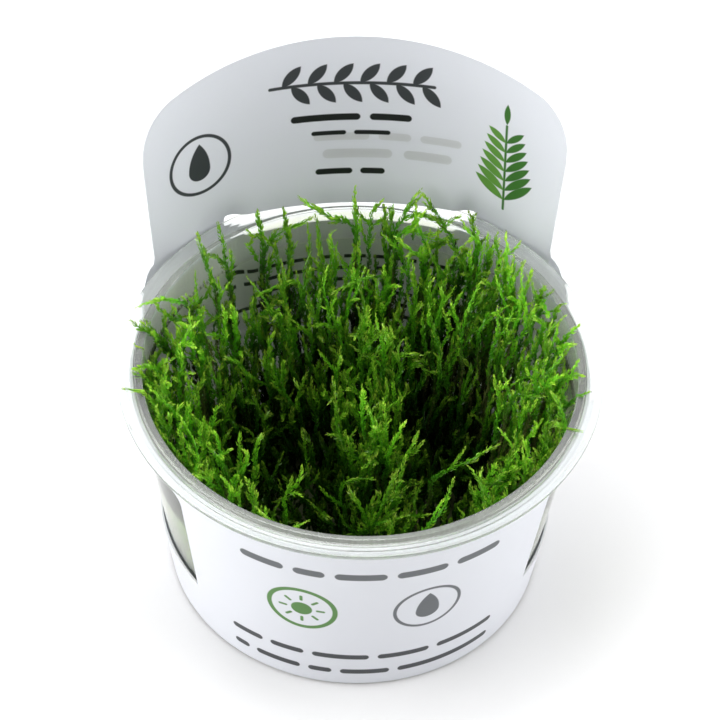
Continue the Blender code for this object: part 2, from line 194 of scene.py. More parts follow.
class Graph:
    """Short names for building the nodes of a material or of the surrounding light."""

    def __init__(self, name, owner=None):
        self.owner = owner or bpy.data.materials.new(name)
        self.owner.use_nodes = True
        self.tree = self.owner.node_tree
        self.tree.nodes.clear()
        kind = "ShaderNodeOutputWorld" if owner else "ShaderNodeOutputMaterial"
        self.out = self.tree.nodes.new(kind)

    def node(self, kind, **settings):
        """A new node with the given settings."""
        made = self.tree.nodes.new(kind)
        for key, value in settings.items():
            setattr(made, key, value)
        return made

    def link(self, source, target):
        """Joins an output to an input."""
        self.tree.links.new(source, target)

    def feed(self, socket, value):
        """Sets an input to a number or a colour, or joins an output to it."""
        if isinstance(value, (int, float, tuple)):
            socket.default_value = value
        else:
            self.link(value, socket)

    def math(self, operation, *values, clamp=False):
        """The result of a Math node."""
        made = self.node("ShaderNodeMath", operation=operation, use_clamp=clamp)
        for socket, value in zip(made.inputs, values):
            self.feed(socket, value)
        return made.outputs[0]

    def mix(self, factor, first, second, blend="MIX"):
        """The first colour, with the second blended over it by the factor."""
        made = self.node("ShaderNodeMix", data_type="RGBA", blend_type=blend)
        self.feed(made.inputs[0], factor)
        self.feed(made.inputs[6], first)
        self.feed(made.inputs[7], second)
        return made.outputs[2]

    def noise(self, vector, scale, detail=3.0, roughness=0.5):
        """Soft noise, mostly between 0.3 and 0.7."""
        made = self.node("ShaderNodeTexNoise")
        self.link(vector, made.inputs["Vector"])
        made.inputs["Scale"].default_value = scale
        made.inputs["Detail"].default_value = detail
        made.inputs["Roughness"].default_value = roughness
        return made.outputs[0]

    def object_coords(self):
        """Places on the piece, in metres."""
        return self.node("ShaderNodeTexCoord").outputs["Object"]

    def split(self, vector):
        """The three parts of a vector."""
        made = self.node("ShaderNodeSeparateXYZ")
        self.link(vector, made.inputs[0])
        return made.outputs[0], made.outputs[1], made.outputs[2]

    def span(self, value, low, high, to_low=0.0, to_high=1.0):
        """A straight line from to_low at low to to_high at high, level beyond them."""
        made = self.node("ShaderNodeMapRange", clamp=True)
        self.feed(made.inputs[0], value)
        for socket, number in zip(made.inputs[1:5], (low, high, to_low, to_high)):
            socket.default_value = number
        return made.outputs[0]

    def ramp(self, value, stops):
        """A colour ramp from its stops, each a position and a colour."""
        made = self.node("ShaderNodeValToRGB")
        self.link(value, made.inputs[0])
        elements = made.color_ramp.elements
        elements[0].position, elements[0].color = stops[0][0], (*stops[0][1], 1.0)
        elements[1].position, elements[1].color = stops[-1][0], (*stops[-1][1], 1.0)
        for position, colour in stops[1:-1]:
            elements.new(position).color = (*colour, 1.0)
        return made.outputs[0]

    def bump(self, height, strength, distance):
        """A normal tilted by the slope of a height, with distance in metres."""
        made = self.node("ShaderNodeBump")
        made.inputs["Strength"].default_value = strength
        made.inputs["Distance"].default_value = distance
        self.link(height, made.inputs["Height"])
        return made.outputs[0]

    def principled(self, **values):
        """A Principled shader with the given inputs, named with underscores."""
        made = self.node("ShaderNodeBsdfPrincipled")
        for key, value in values.items():
            self.feed(made.inputs[key.replace("_", " ")], value)
        return made

    def finish(self, shader_socket):
        """Joins the shader to the output, and gives the material or the world."""
        self.link(shader_socket, self.out.inputs[0])
        return self.owner


class Ink:
    """Plain printed shapes on the sleeve's flat pattern, in mm, each a mask from 0 to 1."""

    SOFT = 0.10

    def __init__(self, graph, u, v):
        self.g = graph
        self.u = u
        self.v = v

    def edge(self, distance):
        """1 inside the shape and 0 outside, with a soft edge; distance is negative inside."""
        return self.g.span(distance, -self.SOFT, self.SOFT, 1.0, 0.0)

    def turned(self, x, y, degrees):
        """Coordinates along and across a shape's own axis at a given centre."""
        g = self.g
        along = g.math("SUBTRACT", self.u, x)
        across = g.math("SUBTRACT", self.v, y)
        if degrees == 0.0:
            return along, across
        c, s = math.cos(math.radians(degrees)), math.sin(math.radians(degrees))
        one = g.math("MULTIPLY_ADD", along, c, g.math("MULTIPLY", across, s))
        two = g.math("MULTIPLY_ADD", across, c, g.math("MULTIPLY", along, -s))
        return one, two

    def bar(self, x, y, length, height, degrees=0.0):
        """A straight bar with round ends: the distance to its middle line, less half its height."""
        g = self.g
        along, across = self.turned(x, y, degrees)
        reach = max(0.5 * (length - height), 0.0)
        past = g.math("MAXIMUM", g.math("SUBTRACT", g.math("ABSOLUTE", along), reach), 0.0)
        square = g.math("MULTIPLY_ADD", past, past, g.math("MULTIPLY", across, across))
        return self.edge(g.math("SUBTRACT", g.math("SQRT", square), 0.5 * height))

    def disc(self, x, y, radius):
        """A round spot."""
        g = self.g
        along, across = self.turned(x, y, 0.0)
        square = g.math("MULTIPLY_ADD", along, along, g.math("MULTIPLY", across, across))
        return self.edge(g.math("SUBTRACT", g.math("SQRT", square), radius))

    def ring(self, x, y, radius, line):
        """A round line: the difference of the distance from the centre and the radius."""
        g = self.g
        along, across = self.turned(x, y, 0.0)
        square = g.math("MULTIPLY_ADD", along, along, g.math("MULTIPLY", across, across))
        off = g.math("ABSOLUTE", g.math("SUBTRACT", g.math("SQRT", square), radius))
        return self.edge(g.math("SUBTRACT", off, 0.5 * line))

    def leaf(self, x, y, length, width, degrees):
        """A pointed leaf: the overlap of two equal discs. It grows from its foot at x, y."""
        g = self.g
        c, s = math.cos(math.radians(degrees)), math.sin(math.radians(degrees))
        along, across = self.turned(x + 0.5 * length * c, y + 0.5 * length * s, degrees)
        radius = (length**2 + width**2) / (4.0 * width)
        offset = radius - 0.5 * width
        out = g.math("ADD", g.math("ABSOLUTE", across), offset)
        square = g.math("MULTIPLY_ADD", along, along, g.math("MULTIPLY", out, out))
        return self.edge(g.math("SUBTRACT", g.math("SQRT", square), radius))

    def drop(self, x, y, radius):
        """A water drop: a disc, and above its middle the upper half of a leaf as wide as it."""
        g = self.g
        length = 5.2 * radius
        lens = self.leaf(x, y - 0.5 * length, length, 2.0 * radius, 90.0)
        upper = g.math("GREATER_THAN", self.v, y)
        return self.both(self.disc(x, y, radius), g.math("MULTIPLY", lens, upper))

    def both(self, *masks):
        """The union of masks."""
        result = masks[0]
        for mask in masks[1:]:
            result = self.g.math("MAXIMUM", result, mask)
        return result

    def line_of_bars(self, y, height, spans):
        """Bars in one row, each given by its left and right end."""
        return self.both(*[self.bar(0.5 * (a + b), y, b - a, height) for a, b in spans])

    def paint(self, base, mask, colour):
        """The base colour with the mask painted over it."""
        return self.g.mix(mask, base, (*colour, 1.0))


# Cup and gel


def cup_outer_radius(height):
    """Outer radius of the tapered wall."""
    return BASE_RADIUS + WALL_SLOPE * height


def cup_inner_radius(height):
    """Inner radius of the cup: the tapered wall, then the collar above the shoulder."""
    taper = cup_outer_radius(height) - WALL
    return np.where(height < SHOULDER_HEIGHT, taper, COLLAR_INNER_RADIUS)


def arc(centre_r, centre_z, radius, start, end, steps):
    """Points on a circle in the profile's plane, angles in degrees."""
    angles = np.radians(np.linspace(start, end, steps))
    return [(centre_r + radius * math.cos(a), centre_z + radius * math.sin(a)) for a in angles]


def cup_profile():
    """The moulding's outline with every edge a little round, from the base's centre and back."""
    foot = cup_outer_radius(BASE_ROUND)
    inner_round = BASE_ROUND - 0.5 * WALL
    inner_foot = float(cup_inner_radius(FLOOR + inner_round))
    outline = [(0.0, 0.0), (20.0, 0.0)]
    outline += arc(foot - BASE_ROUND, BASE_ROUND, BASE_ROUND, -90, 0, 7)
    outline += [(cup_outer_radius(z), z) for z in (16.0, 32.0, SHOULDER_HEIGHT)]
    outline += arc(cup_outer_radius(FLANGE_UNDER) + EDGE, FLANGE_UNDER - EDGE, EDGE, 180, 90, 4)
    outline += arc(FLANGE_RADIUS - EDGE, FLANGE_UNDER + EDGE, EDGE, -90, 0, 4)
    outline += arc(FLANGE_RADIUS - EDGE, FLANGE_TOP - EDGE, EDGE, 0, 90, 4)
    outline += [(radius, FLANGE_TOP - depth) for radius, depth in FLANGE_GROOVE]
    outline += [(RIDGE_OUTER_RADIUS + 0.25, FLANGE_TOP), (RIDGE_OUTER_RADIUS, FLANGE_TOP + 0.12)]
    outline += arc(RIDGE_OUTER_RADIUS - 0.4, RIM_TOP - EDGE, EDGE, 20, 90, 4)
    mouth = (COLLAR_INNER_RADIUS + MOUTH_ROUND, RIM_TOP - MOUTH_ROUND)
    outline += arc(*mouth, MOUTH_ROUND, 90, 180, 5)
    outline += [(COLLAR_INNER_RADIUS, 53.0), (COLLAR_INNER_RADIUS, SHOULDER_HEIGHT + 1.0)]
    outline += [(45.2, SHOULDER_HEIGHT + 0.6), (44.95, SHOULDER_HEIGHT + 0.2)]
    outline += [(cup_outer_radius(z) - WALL, z) for z in (SHOULDER_HEIGHT - 0.3, 32.0, 16.0)]
    outline += arc(inner_foot - inner_round, FLOOR + inner_round, inner_round, 0, -90, 6)
    outline += [(20.0, FLOOR), (0.0, FLOOR)]
    return outline


# Ribs inside the collar, and mm from ring to ring on the flange
RIB_COUNT = 260.0
RING_PITCH = 1.1

# Where they fade, in metres: the ribs upwards and outwards, and the rings inwards
RIB_TOP_FADE = (0.0556, 0.0562)
RIB_OUTER_FADE = (0.0455, 0.0457)
RING_INNER_FADE = (0.0472, 0.0476)

CLEAR_IOR = 1.49
MILKY_TRANSMISSION = 0.86


def clear_wall():
    """Clear moulded plastic with a painted yellow-green tint for the green light of the moss it
    holds, and faint mist and smears.
    """
    g = Graph("clear_wall")
    spot = g.object_coords()
    smear = g.noise(spot, 60.0, 4.0, 0.6)
    rough = g.span(smear, 0.35, 0.75, 0.02, 0.12)
    rough = g.math("MULTIPLY_ADD", g.noise(spot, 900.0, 2.0), 0.04, rough)
    # the yellow-green tint is painted light: it stands in for the moss's green light seen through
    # the wall
    shader = g.principled(
        Base_Color=(0.88, 0.95, 0.72, 1.0),
        Roughness=rough,
        IOR=CLEAR_IOR,
        Transmission_Weight=1.0,
        Normal=g.bump(smear, 0.12, 0.00012),
    )
    return g.finish(shader.outputs[0])


def clear_rim():
    """The rim above the shoulder: slightly milky, with fine upright ribs and a painted green tint
    for the moss's light inside the collar.

    The ribs are a sine wave of the bearing. The flange has fine rings: a sine wave of its radius,
    RING_PITCH from one ring to the next.
    """
    g = Graph("clear_rim")
    spot = g.object_coords()
    x, y, z = g.split(spot)
    ribs = g.math("SINE", g.math("MULTIPLY", g.math("ARCTAN2", y, x), RIB_COUNT))
    radius = g.math("SQRT", g.math("MULTIPLY_ADD", x, x, g.math("MULTIPLY", y, y)))
    inside = g.math(
        "MULTIPLY",
        g.span(z, *RIB_TOP_FADE, 1.0, 0.0),
        g.span(radius, *RIB_OUTER_FADE, 1.0, 0.0),
    )
    smear = g.noise(spot, 60.0, 4.0, 0.6)
    rings = g.math("SINE", g.math("MULTIPLY", radius, TURN / (RING_PITCH * MM)))
    rings = g.math("MULTIPLY", rings, g.span(radius, *RING_INNER_FADE))
    height = g.math("MULTIPLY", g.math("MULTIPLY", ribs, inside), 0.6)
    height = g.math("MULTIPLY_ADD", smear, 0.2, height)
    height = g.math("MULTIPLY_ADD", rings, 0.5, height)
    rough = g.span(smear, 0.35, 0.75, 0.03, 0.10)
    rough = g.math("MULTIPLY_ADD", inside, 0.15, rough)
    # inside the collar the tint is painted light: yellow-green for the moss's light seen through it
    tint = g.mix(inside, (0.955, 0.98, 0.97, 1.0), (0.95, 0.98, 0.78, 1.0))
    shader = g.principled(
        Base_Color=tint,
        Roughness=rough,
        IOR=CLEAR_IOR,
        Transmission_Weight=MILKY_TRANSMISSION,
        Normal=g.bump(height, 0.35, 0.00012),
    )
    return g.finish(shader.outputs[0])


def gel_material():
    """Soft, cloudy culture gel, coloured dark olive as painted shade under the moss."""
    g = Graph("culture_gel")
    spot = g.object_coords()
    cloud = g.noise(spot, 140.0, 4.0, 0.6)
    # the dark colours are painted shade at the bottom of the pits
    colour = g.mix(cloud, (0.030, 0.045, 0.012, 1.0), (0.11, 0.13, 0.05, 1.0))
    shader = g.principled(
        Base_Color=colour,
        Roughness=0.4,
        IOR=1.34,
        Transmission_Weight=0.15,
        Normal=g.bump(cloud, 0.4, 0.0004),
    )
    return g.finish(shader.outputs[0])


def make_cup():
    """The clear cup, finer than its CAD node and in the same place."""
    materials = [clear_wall(), clear_rim()]
    change_at = SHOULDER_HEIGHT + 0.1
    cup = turned_piece(
        "clear_cup", cup_profile(), CUP_SEGMENTS, materials, SHARP_ANGLE, change_at
    )
    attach(cup, "root")
    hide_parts("culture_cup")


def make_gel():
    """The gel on the cup's floor, with a slightly wavy top."""
    bottom = FLOOR + GAP
    low_round = BASE_ROUND + GAP
    low_radius = float(cup_inner_radius(bottom + low_round)) - GAP
    high_radius = float(cup_inner_radius(GEL_TOP)) - GAP
    profile = [(0.0, bottom), (18.0, bottom)]
    profile += arc(low_radius - low_round, bottom + low_round, low_round, -90, 0, 5)
    profile += [(high_radius, GEL_TOP - 0.25), (high_radius - 0.3, GEL_TOP), (18.0, GEL_TOP - 0.1)]
    profile += [(0.0, GEL_TOP - 0.1)]
    gel = turned_piece("gel_disc", profile, GEL_SEGMENTS, [gel_material()], SHARP_ANGLE)
    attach(gel, "root")
    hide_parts("culture_gel")


# Sleeve


def sleeve_radius(height):
    """Middle of the sheet where it lies against the cup."""
    return cup_outer_radius(height) + GAP + 0.5 * SHEET


def header_point(along, up):
    """A point of the header: an arc of radius HEADER_BEND carried up a line that leans back."""
    turn = along / HEADER_BEND
    sag = HEADER_BEND * (1.0 - np.cos(turn))
    x = HEADER_BEND * np.sin(turn)
    y = HEADER_DEPTH - sag * math.cos(HEADER_LEAN) + up * math.sin(HEADER_LEAN)
    z = HEADER_LEVEL + sag * math.sin(HEADER_LEAN) + up * math.cos(HEADER_LEAN)
    return np.stack([x, y, z], axis=-1)


def header_up_at(along, height):
    """Distance up the sheet at which the header reaches a given height."""
    sag = HEADER_BEND * (1.0 - np.cos(along / HEADER_BEND))
    return (height - HEADER_LEVEL - sag * math.sin(HEADER_LEAN)) / math.cos(HEADER_LEAN)


def header_half_width(up):
    """The header widens slowly from its foot to its shoulders."""
    share = np.clip(up / (HEADER_HEIGHT * 0.5), -0.2, 1.0)
    return HEADER_FOOT_HALF_WIDTH + (HEADER_HALF_WIDTH - HEADER_FOOT_HALF_WIDTH) * share


def header_top(along):
    """Height of the outline: a wide arch, with a round shoulder at each side."""
    across = np.abs(along)
    arch_centre = HEADER_HEIGHT - HEADER_ARCH
    shoulder_across = HEADER_HALF_WIDTH - HEADER_SHOULDER
    reach = HEADER_ARCH - HEADER_SHOULDER
    shoulder_up = arch_centre + math.sqrt(reach**2 - shoulder_across**2)
    arch = arch_centre + np.sqrt(HEADER_ARCH**2 - across**2)
    into = np.clip(across - shoulder_across, 0.0, HEADER_SHOULDER)
    shoulder = shoulder_up + np.sqrt(HEADER_SHOULDER**2 - into**2)
    meeting = shoulder_across * HEADER_ARCH / reach
    return np.where(across < meeting, arch, shoulder)


def clear_of_flange(points):
    """Pushes the sheet out past the flange's edge between the slot and the header's sides."""
    radius = np.hypot(points[..., 0], points[..., 1])
    angle = np.abs(np.arctan2(points[..., 0], points[..., 1]))
    needed = FLANGE_RADIUS + GAP + 0.5 * SHEET + FLANGE_ROOM
    beside = smooth_step(SLOT_HALF_ANGLE - BULGE_START, SLOT_HALF_ANGLE, angle)
    beside = beside * (1.0 - smooth_step(HEADER_SIDE_ANGLE, HEADER_SIDE_ANGLE + SIDE_FADE, angle))
    below = smooth_step(BAND_TOP - BULGE_BELOW, BAND_TOP, points[..., 2])
    above = 1.0 - smooth_step(SLOT_TOP, SLOT_TOP + BULGE_ABOVE, points[..., 2])
    push = np.maximum(needed - radius, 0.0) * beside * below * above
    scale = 1.0 + push / radius
    return np.stack([points[..., 0] * scale, points[..., 1] * scale, points[..., 2]], axis=-1)


def slot_half_length():
    """Distance round the sheet from the middle of the slot to its end."""
    along = np.linspace(0.0, HEADER_FOOT_HALF_WIDTH, 400)
    foot = header_point(along, header_up_at(along, BAND_TOP))
    return float(np.interp(SLOT_HALF_ANGLE, np.arctan2(foot[:, 0], foot[:, 1]), along))


def slot_opening(along):
    """How far the slot is open: 0 beyond its end, 1 in its run, a quarter circle between."""
    from_end = np.clip((slot_half_length() - np.abs(along)) / SLOT_ROUND, 0.0, 1.0)
    return np.sqrt(1.0 - (1.0 - from_end) ** 2)


def header_shares():
    """Places across the header from -1 to 1: even along the slot, and closer at its ends."""
    end = slot_half_length()
    pieces = [
        np.linspace(0.0, end - SLOT_ROUND, 24),
        end - SLOT_ROUND * (1.0 - np.cos(np.linspace(math.pi / 2, 0.0, 9)[1:])),
        end + (HEADER_FOOT_HALF_WIDTH - end) * np.sin(np.linspace(0.0, math.pi / 2, 22)[1:]),
    ]
    half = np.concatenate(pieces) / HEADER_FOOT_HALF_WIDTH
    return np.concatenate([-half[:0:-1], half])


def window_drop(angle):
    """For each angle from the back: how far the top of a window is rounded down there."""
    back = math.pi - WINDOW_BACK
    front = math.pi - WINDOW_FRONT
    size = np.abs(angle)
    inside = (size >= back - 1e-9) & (size <= front + 1e-9)
    into = np.minimum(size - back, front - size) * sleeve_radius(WINDOW_TOP)
    rest = np.clip(WINDOW_ROUND - into, 0.0, WINDOW_ROUND)
    drop = WINDOW_ROUND - np.sqrt(WINDOW_ROUND**2 - rest**2)
    return np.where(inside, drop, 0.0)


def sleeve_angles():
    """Angles of the half of the columns beyond the header, from its side to the front."""
    foot = header_point(
        np.array(HEADER_FOOT_HALF_WIDTH), header_up_at(HEADER_FOOT_HALF_WIDTH, BAND_TOP)
    )
    side = math.atan2(foot[0], foot[1])
    back = math.pi - WINDOW_BACK
    front = math.pi - WINDOW_FRONT
    corner = math.asin(WINDOW_ROUND / sleeve_radius(WINDOW_TOP))
    quarter = 1.0 - np.cos(np.linspace(0.0, math.pi / 2, 9))
    pieces = [
        np.linspace(side, back, 18)[1:],
        back + corner * quarter[1:],
        np.linspace(back + corner, front - corner, 22)[1:],
        front - corner * quarter[-2::-1],
        np.linspace(front, math.pi, 40)[1:],
    ]
    return side, np.concatenate(pieces)


def sleeve_grid():
    """Mid-surface points and flat-pattern places of the sleeve, as two grids that share columns.

    The band goes all the way round below the flange. Its radius is the cup's cone plus a flare
    near the header. Beside a window its rows close up to the window's edges. The header grid
    stands on the first columns of the band.
    """
    side, beyond = sleeve_angles()
    shares = header_shares()
    foot_along = shares * HEADER_FOOT_HALF_WIDTH
    foot = clear_of_flange(header_point(foot_along, header_up_at(foot_along, BAND_TOP)))
    header_angles = np.arctan2(foot[:, 0], foot[:, 1])
    header_radii = np.hypot(foot[:, 0], foot[:, 1])
    cup_radius = sleeve_radius(BAND_TOP)
    fade = 1.0 - smooth_step(side, side + SIDE_FADE, beyond)
    beyond_radii = cup_radius + (header_radii[-1] - cup_radius) * fade
    angles = np.concatenate([header_angles, beyond, -beyond[-2::-1]])
    radii = np.concatenate([header_radii, beyond_radii, beyond_radii[-2::-1]])

    opening = slot_opening(foot_along)
    band_top = np.full(len(angles), BAND_TOP)
    band_top[: len(shares)] -= SLOT_DROP * opening
    drop = window_drop(angles)
    beside = np.linspace(0.0, 1.0, WINDOW_ROWS + 2)[1:-1]
    above = np.linspace(0.0, 1.0, HIGH_ROWS)
    window_end = LOW_ROWS + WINDOW_ROWS
    heights = np.empty((len(angles), window_end + HIGH_ROWS))
    heights[:, :LOW_ROWS] = np.linspace(SLEEVE_BOTTOM, WINDOW_BOTTOM, LOW_ROWS)
    window_height = WINDOW_TOP - drop[:, None] - WINDOW_BOTTOM
    heights[:, LOW_ROWS:window_end] = WINDOW_BOTTOM + window_height * beside
    heights[:, window_end:] = WINDOW_TOP + (band_top[:, None] - WINDOW_TOP) * above
    heights[:, window_end] -= drop
    rise = np.clip((heights - FLARE_START) / (BAND_TOP - FLARE_START), 0.0, 1.0)
    radius = sleeve_radius(heights) + (radii - cup_radius)[:, None] * rise**FLARE_CURVE
    band = np.stack(
        [radius * np.sin(angles)[:, None], radius * np.cos(angles)[:, None], heights], axis=-1
    )
    band = clear_of_flange(band)

    arch = SLOT_RISE * (foot_along / slot_half_length()) ** 2 * opening
    low = header_up_at(foot_along, SLOT_TOP + arch)
    high = header_top(shares * HEADER_HALF_WIDTH)
    rows = np.linspace(0.0, 1.0, HEADER_ROWS) ** HEADER_ROW_CURVE
    ups = low[:, None] + (high - low)[:, None] * rows
    along = shares[:, None] * header_half_width(ups)
    header = clear_of_flange(header_point(along, ups))
    return angles, band, heights, header, along, ups


def grid_quads(index, left, right, row):
    """Four-sided faces of a grid: between two columns, and from a row to the next."""
    return np.stack(
        [index[left, row], index[right, row], index[right, row + 1], index[left, row + 1]], axis=-1
    )


def make_sleeve():
    """The printed sheet, closed and even in thickness, with its slot and windows cut out.

    Outer and inner side are the mid-surface moved along its normals by half the thickness, and
    strips of quads close the open edges between them.
    """
    angles, band, heights, header, along, ups = sleeve_grid()
    columns, band_rows = heights.shape
    header_columns, header_rows = ups.shape
    band_index = np.arange(columns * band_rows).reshape(columns, band_rows)
    header_index = columns * band_rows + np.arange(ups.size).reshape(ups.shape)
    points = np.concatenate([band.reshape(-1, 3), header.reshape(-1, 3)])

    following = np.roll(np.arange(columns), -1)
    middle = 0.5 * (np.abs(angles) + np.abs(angles[following]))
    same_side = angles * angles[following] > 0.0
    in_window = (middle > math.pi - WINDOW_BACK) & (middle < math.pi - WINDOW_FRONT) & same_side
    step = (angles[following] - angles + math.pi) % TURN - math.pi
    start = np.where(angles + 0.5 * step > 0.0, math.pi, -math.pi) - angles

    column, row = np.meshgrid(np.arange(columns), np.arange(band_rows - 1), indexing="ij")
    column, row = column.ravel(), row.ravel()
    beside_window = (row >= LOW_ROWS - 1) & (row < LOW_ROWS + WINDOW_ROWS)
    keep = ~(in_window[column] & beside_window)
    column, row = column[keep], row[keep]
    after = following[column]
    faces = grid_quads(band_index, column, after, row)
    u0 = start[column] * BAND_SCALE
    u1 = (start[column] - step[column]) * BAND_SCALE
    uv = np.stack(
        [
            np.stack([u0, heights[column, row]], axis=-1),
            np.stack([u1, heights[after, row]], axis=-1),
            np.stack([u1, heights[after, row + 1]], axis=-1),
            np.stack([u0, heights[column, row + 1]], axis=-1),
        ],
        axis=1,
    )

    hc, hr = np.meshgrid(np.arange(header_columns - 1), np.arange(header_rows - 1), indexing="ij")
    hc, hr = hc.ravel(), hr.ravel()
    header_faces = grid_quads(header_index, hc, hc + 1, hr)

    def pattern(c, r):
        return np.stack([along[c, r], ups[c, r] + HEADER_OFFSET], axis=-1)

    header_uv = np.stack(
        [pattern(hc, hr), pattern(hc + 1, hr), pattern(hc + 1, hr + 1), pattern(hc, hr + 1)], axis=1
    )

    joint = np.arange(header_columns - 1)
    joint = joint[np.abs(0.5 * (angles[joint] + angles[joint + 1])) > SLOT_HALF_ANGLE]
    joint_faces = np.stack(
        [
            band_index[joint, -1],
            band_index[joint + 1, -1],
            header_index[joint + 1, 0],
            header_index[joint, 0],
        ],
        axis=-1,
    )
    low = pattern(joint, np.zeros_like(joint))
    low_next = pattern(joint + 1, np.zeros_like(joint))
    drop = np.array([0.0, SLOT_TOP - BAND_TOP])
    joint_uv = np.stack([low - drop, low_next - drop, low_next, low], axis=1)

    faces = np.concatenate([faces, header_faces, joint_faces])
    uv = np.concatenate([uv, header_uv, joint_uv])
    # the points inside the windows carry no face and are left out
    used, faces = np.unique(faces, return_inverse=True)
    points, faces = points[used], faces.reshape(-1, 4)
    normals = point_normals(points, faces)
    # the outer side faces away from the cup's axis
    outward = np.sum(normals * points * (1.0, 1.0, 0.0))
    if outward < 0.0:
        faces = faces[:, ::-1]
        uv = uv[:, ::-1]
        normals = -normals
    count = len(points)
    outer = points + normals * (0.5 * SHEET)
    inner = points - normals * (0.5 * SHEET)
    edges = open_edges(faces)
    strips = np.stack([edges[:, 1], edges[:, 0], edges[:, 0] + count, edges[:, 1] + count], axis=-1)
    all_faces = np.concatenate([faces, faces[:, ::-1] + count, strips])
    edge_uv = np.zeros((len(strips), 4, 2))
    all_uv = np.concatenate([uv, uv[:, ::-1], edge_uv])
    kinds = np.concatenate(
        [
            np.zeros(len(faces), int),
            np.ones(len(faces), int),
            np.full(len(strips), 2),
        ]
    )
    materials = [sleeve_outside(), sleeve_inside(), sheet_edge()]
    sleeve = mesh_piece(
        "printed_sleeve",
        np.concatenate([outer, inner]),
        all_faces,
        materials,
        material_index=kinds,
        corner_uv=all_uv * PATTERN_SCALE,
    )
    sleeve.data.set_sharp_from_angle(angle=math.radians(SHARP_ANGLE))
    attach(sleeve, "root")
    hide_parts("sleeve_label")


def point_normals(points, faces):
    """Normals at points: the sum of the normals of the quads around each, made unit length."""
    a, b, c, d = (points[faces[:, i]] for i in range(4))
    normal = np.cross(c - a, d - b)
    total = np.zeros_like(points)
    for i in range(4):
        np.add.at(total, faces[:, i], normal)
    return total / np.linalg.norm(total, axis=1, keepdims=True)


def open_edges(faces):
    """Directed edges of the quads that no other quad shares."""
    starts = faces.ravel()
    ends = np.roll(faces, -1, axis=1).ravel()
    low, high = np.minimum(starts, ends), np.maximum(starts, ends)
    key = low.astype(np.int64) * (faces.max() + 1) + high
    values, counts = np.unique(key, return_counts=True)
    single = np.isin(key, values[counts == 1])
    return np.stack([starts[single], ends[single]], axis=-1)


# The flat pattern: mm round the band for each radian, how far the header's pattern lies above
# the band's, and the UV map's units for each mm
BAND_SCALE = 45.0
HEADER_OFFSET = 100.0
PATTERN_SCALE = 0.01

# The sheet's own colour, the share of light that comes through it, and its inks
PAPER = (0.79, 0.805, 0.85)
LIGHT_THROUGH = 0.25
DARK_INK = (0.045, 0.05, 0.055)
BLACK_INK = (0.012, 0.014, 0.014)
GREY_INK = (0.13, 0.14, 0.15)
LEAF_INK = (0.05, 0.17, 0.03)
LIGHT_LEAF_INK = (0.12, 0.30, 0.05)
SUN_INK = (0.09, 0.24, 0.05)
FAINT_INK = (0.70, 0.71, 0.73)
DASH_INK = (0.05, 0.055, 0.055)

# Rows of small dashes behind the rear wall: how many, the height of the first, the distance from
# one to the next, and from the middle of the back to their ends
ROW_COUNT = 6.0
ROWS_TOP = 44.0
ROW_GAP = 3.2
ROWS_REACH = 27.0


def sheet_graph(name):
    """A graph with the flat pattern's coordinates in mm."""
    g = Graph(name)
    uv = g.node("ShaderNodeUVMap", uv_map="Pattern").outputs[0]
    u, v, _ = g.split(uv)
    u = g.math("MULTIPLY", u, 1.0 / PATTERN_SCALE)
    v = g.math("MULTIPLY", v, 1.0 / PATTERN_SCALE)
    return g, Ink(g, u, v)


def sheet_shader(g, colour):
    """Satin printed film: fine fibre in the bump, uneven gloss, and light comes through."""
    spot = g.object_coords()
    fibre = g.noise(spot, 2600.0, 2.0)
    waves = g.noise(spot, 28.0, 2.0)
    height = g.math("MULTIPLY_ADD", fibre, 0.15, waves)
    rough = g.span(g.noise(spot, 220.0, 3.0), 0.3, 0.7, 0.32, 0.42)
    shader = g.principled(
        Base_Color=colour,
        Roughness=rough,
        IOR=1.45,
        Normal=g.bump(height, 0.12, 0.0006),
    )
    through = g.node("ShaderNodeBsdfTranslucent")
    g.feed(through.inputs["Color"], colour)
    mixed = g.node("ShaderNodeMixShader")
    mixed.inputs[0].default_value = LIGHT_THROUGH
    g.link(shader.outputs[0], mixed.inputs[1])
    g.link(through.outputs[0], mixed.inputs[2])
    return g.finish(mixed.outputs[0])


def sprig(ink, x, y, height, leaf_length, leaf_width, pairs):
    """A stem with pairs of pointed leaves that get shorter towards its tip."""
    dark = [ink.bar(x, y + 0.5 * height, height, 0.55, 90.0)]
    light = []
    for k in range(pairs):
        share = k / pairs
        size = leaf_length * (1.0 - 0.45 * share)
        up = y + height * (0.12 + 0.78 * share)
        dark.append(ink.leaf(x, up, size, leaf_width * (1.0 - 0.3 * share), 40.0))
        light.append(ink.leaf(x, up, size, leaf_width * (1.0 - 0.3 * share), 140.0))
    dark.append(ink.leaf(x, y + height, leaf_length * 0.6, leaf_width * 0.7, 90.0))
    return ink.both(*dark), ink.both(*light)


def back_rows(ink):
    """Two rows of bars on the header's back, which also show faintly through its face."""
    return ink.both(
        ink.line_of_bars(HEADER_OFFSET + 17.0, 1.9, [(-8.0, 4.0), (6.0, 13.0), (15.0, 24.0)]),
        ink.line_of_bars(HEADER_OFFSET + 12.6, 2.3, [(-6.0, 9.0), (11.5, 22.0)]),
    )


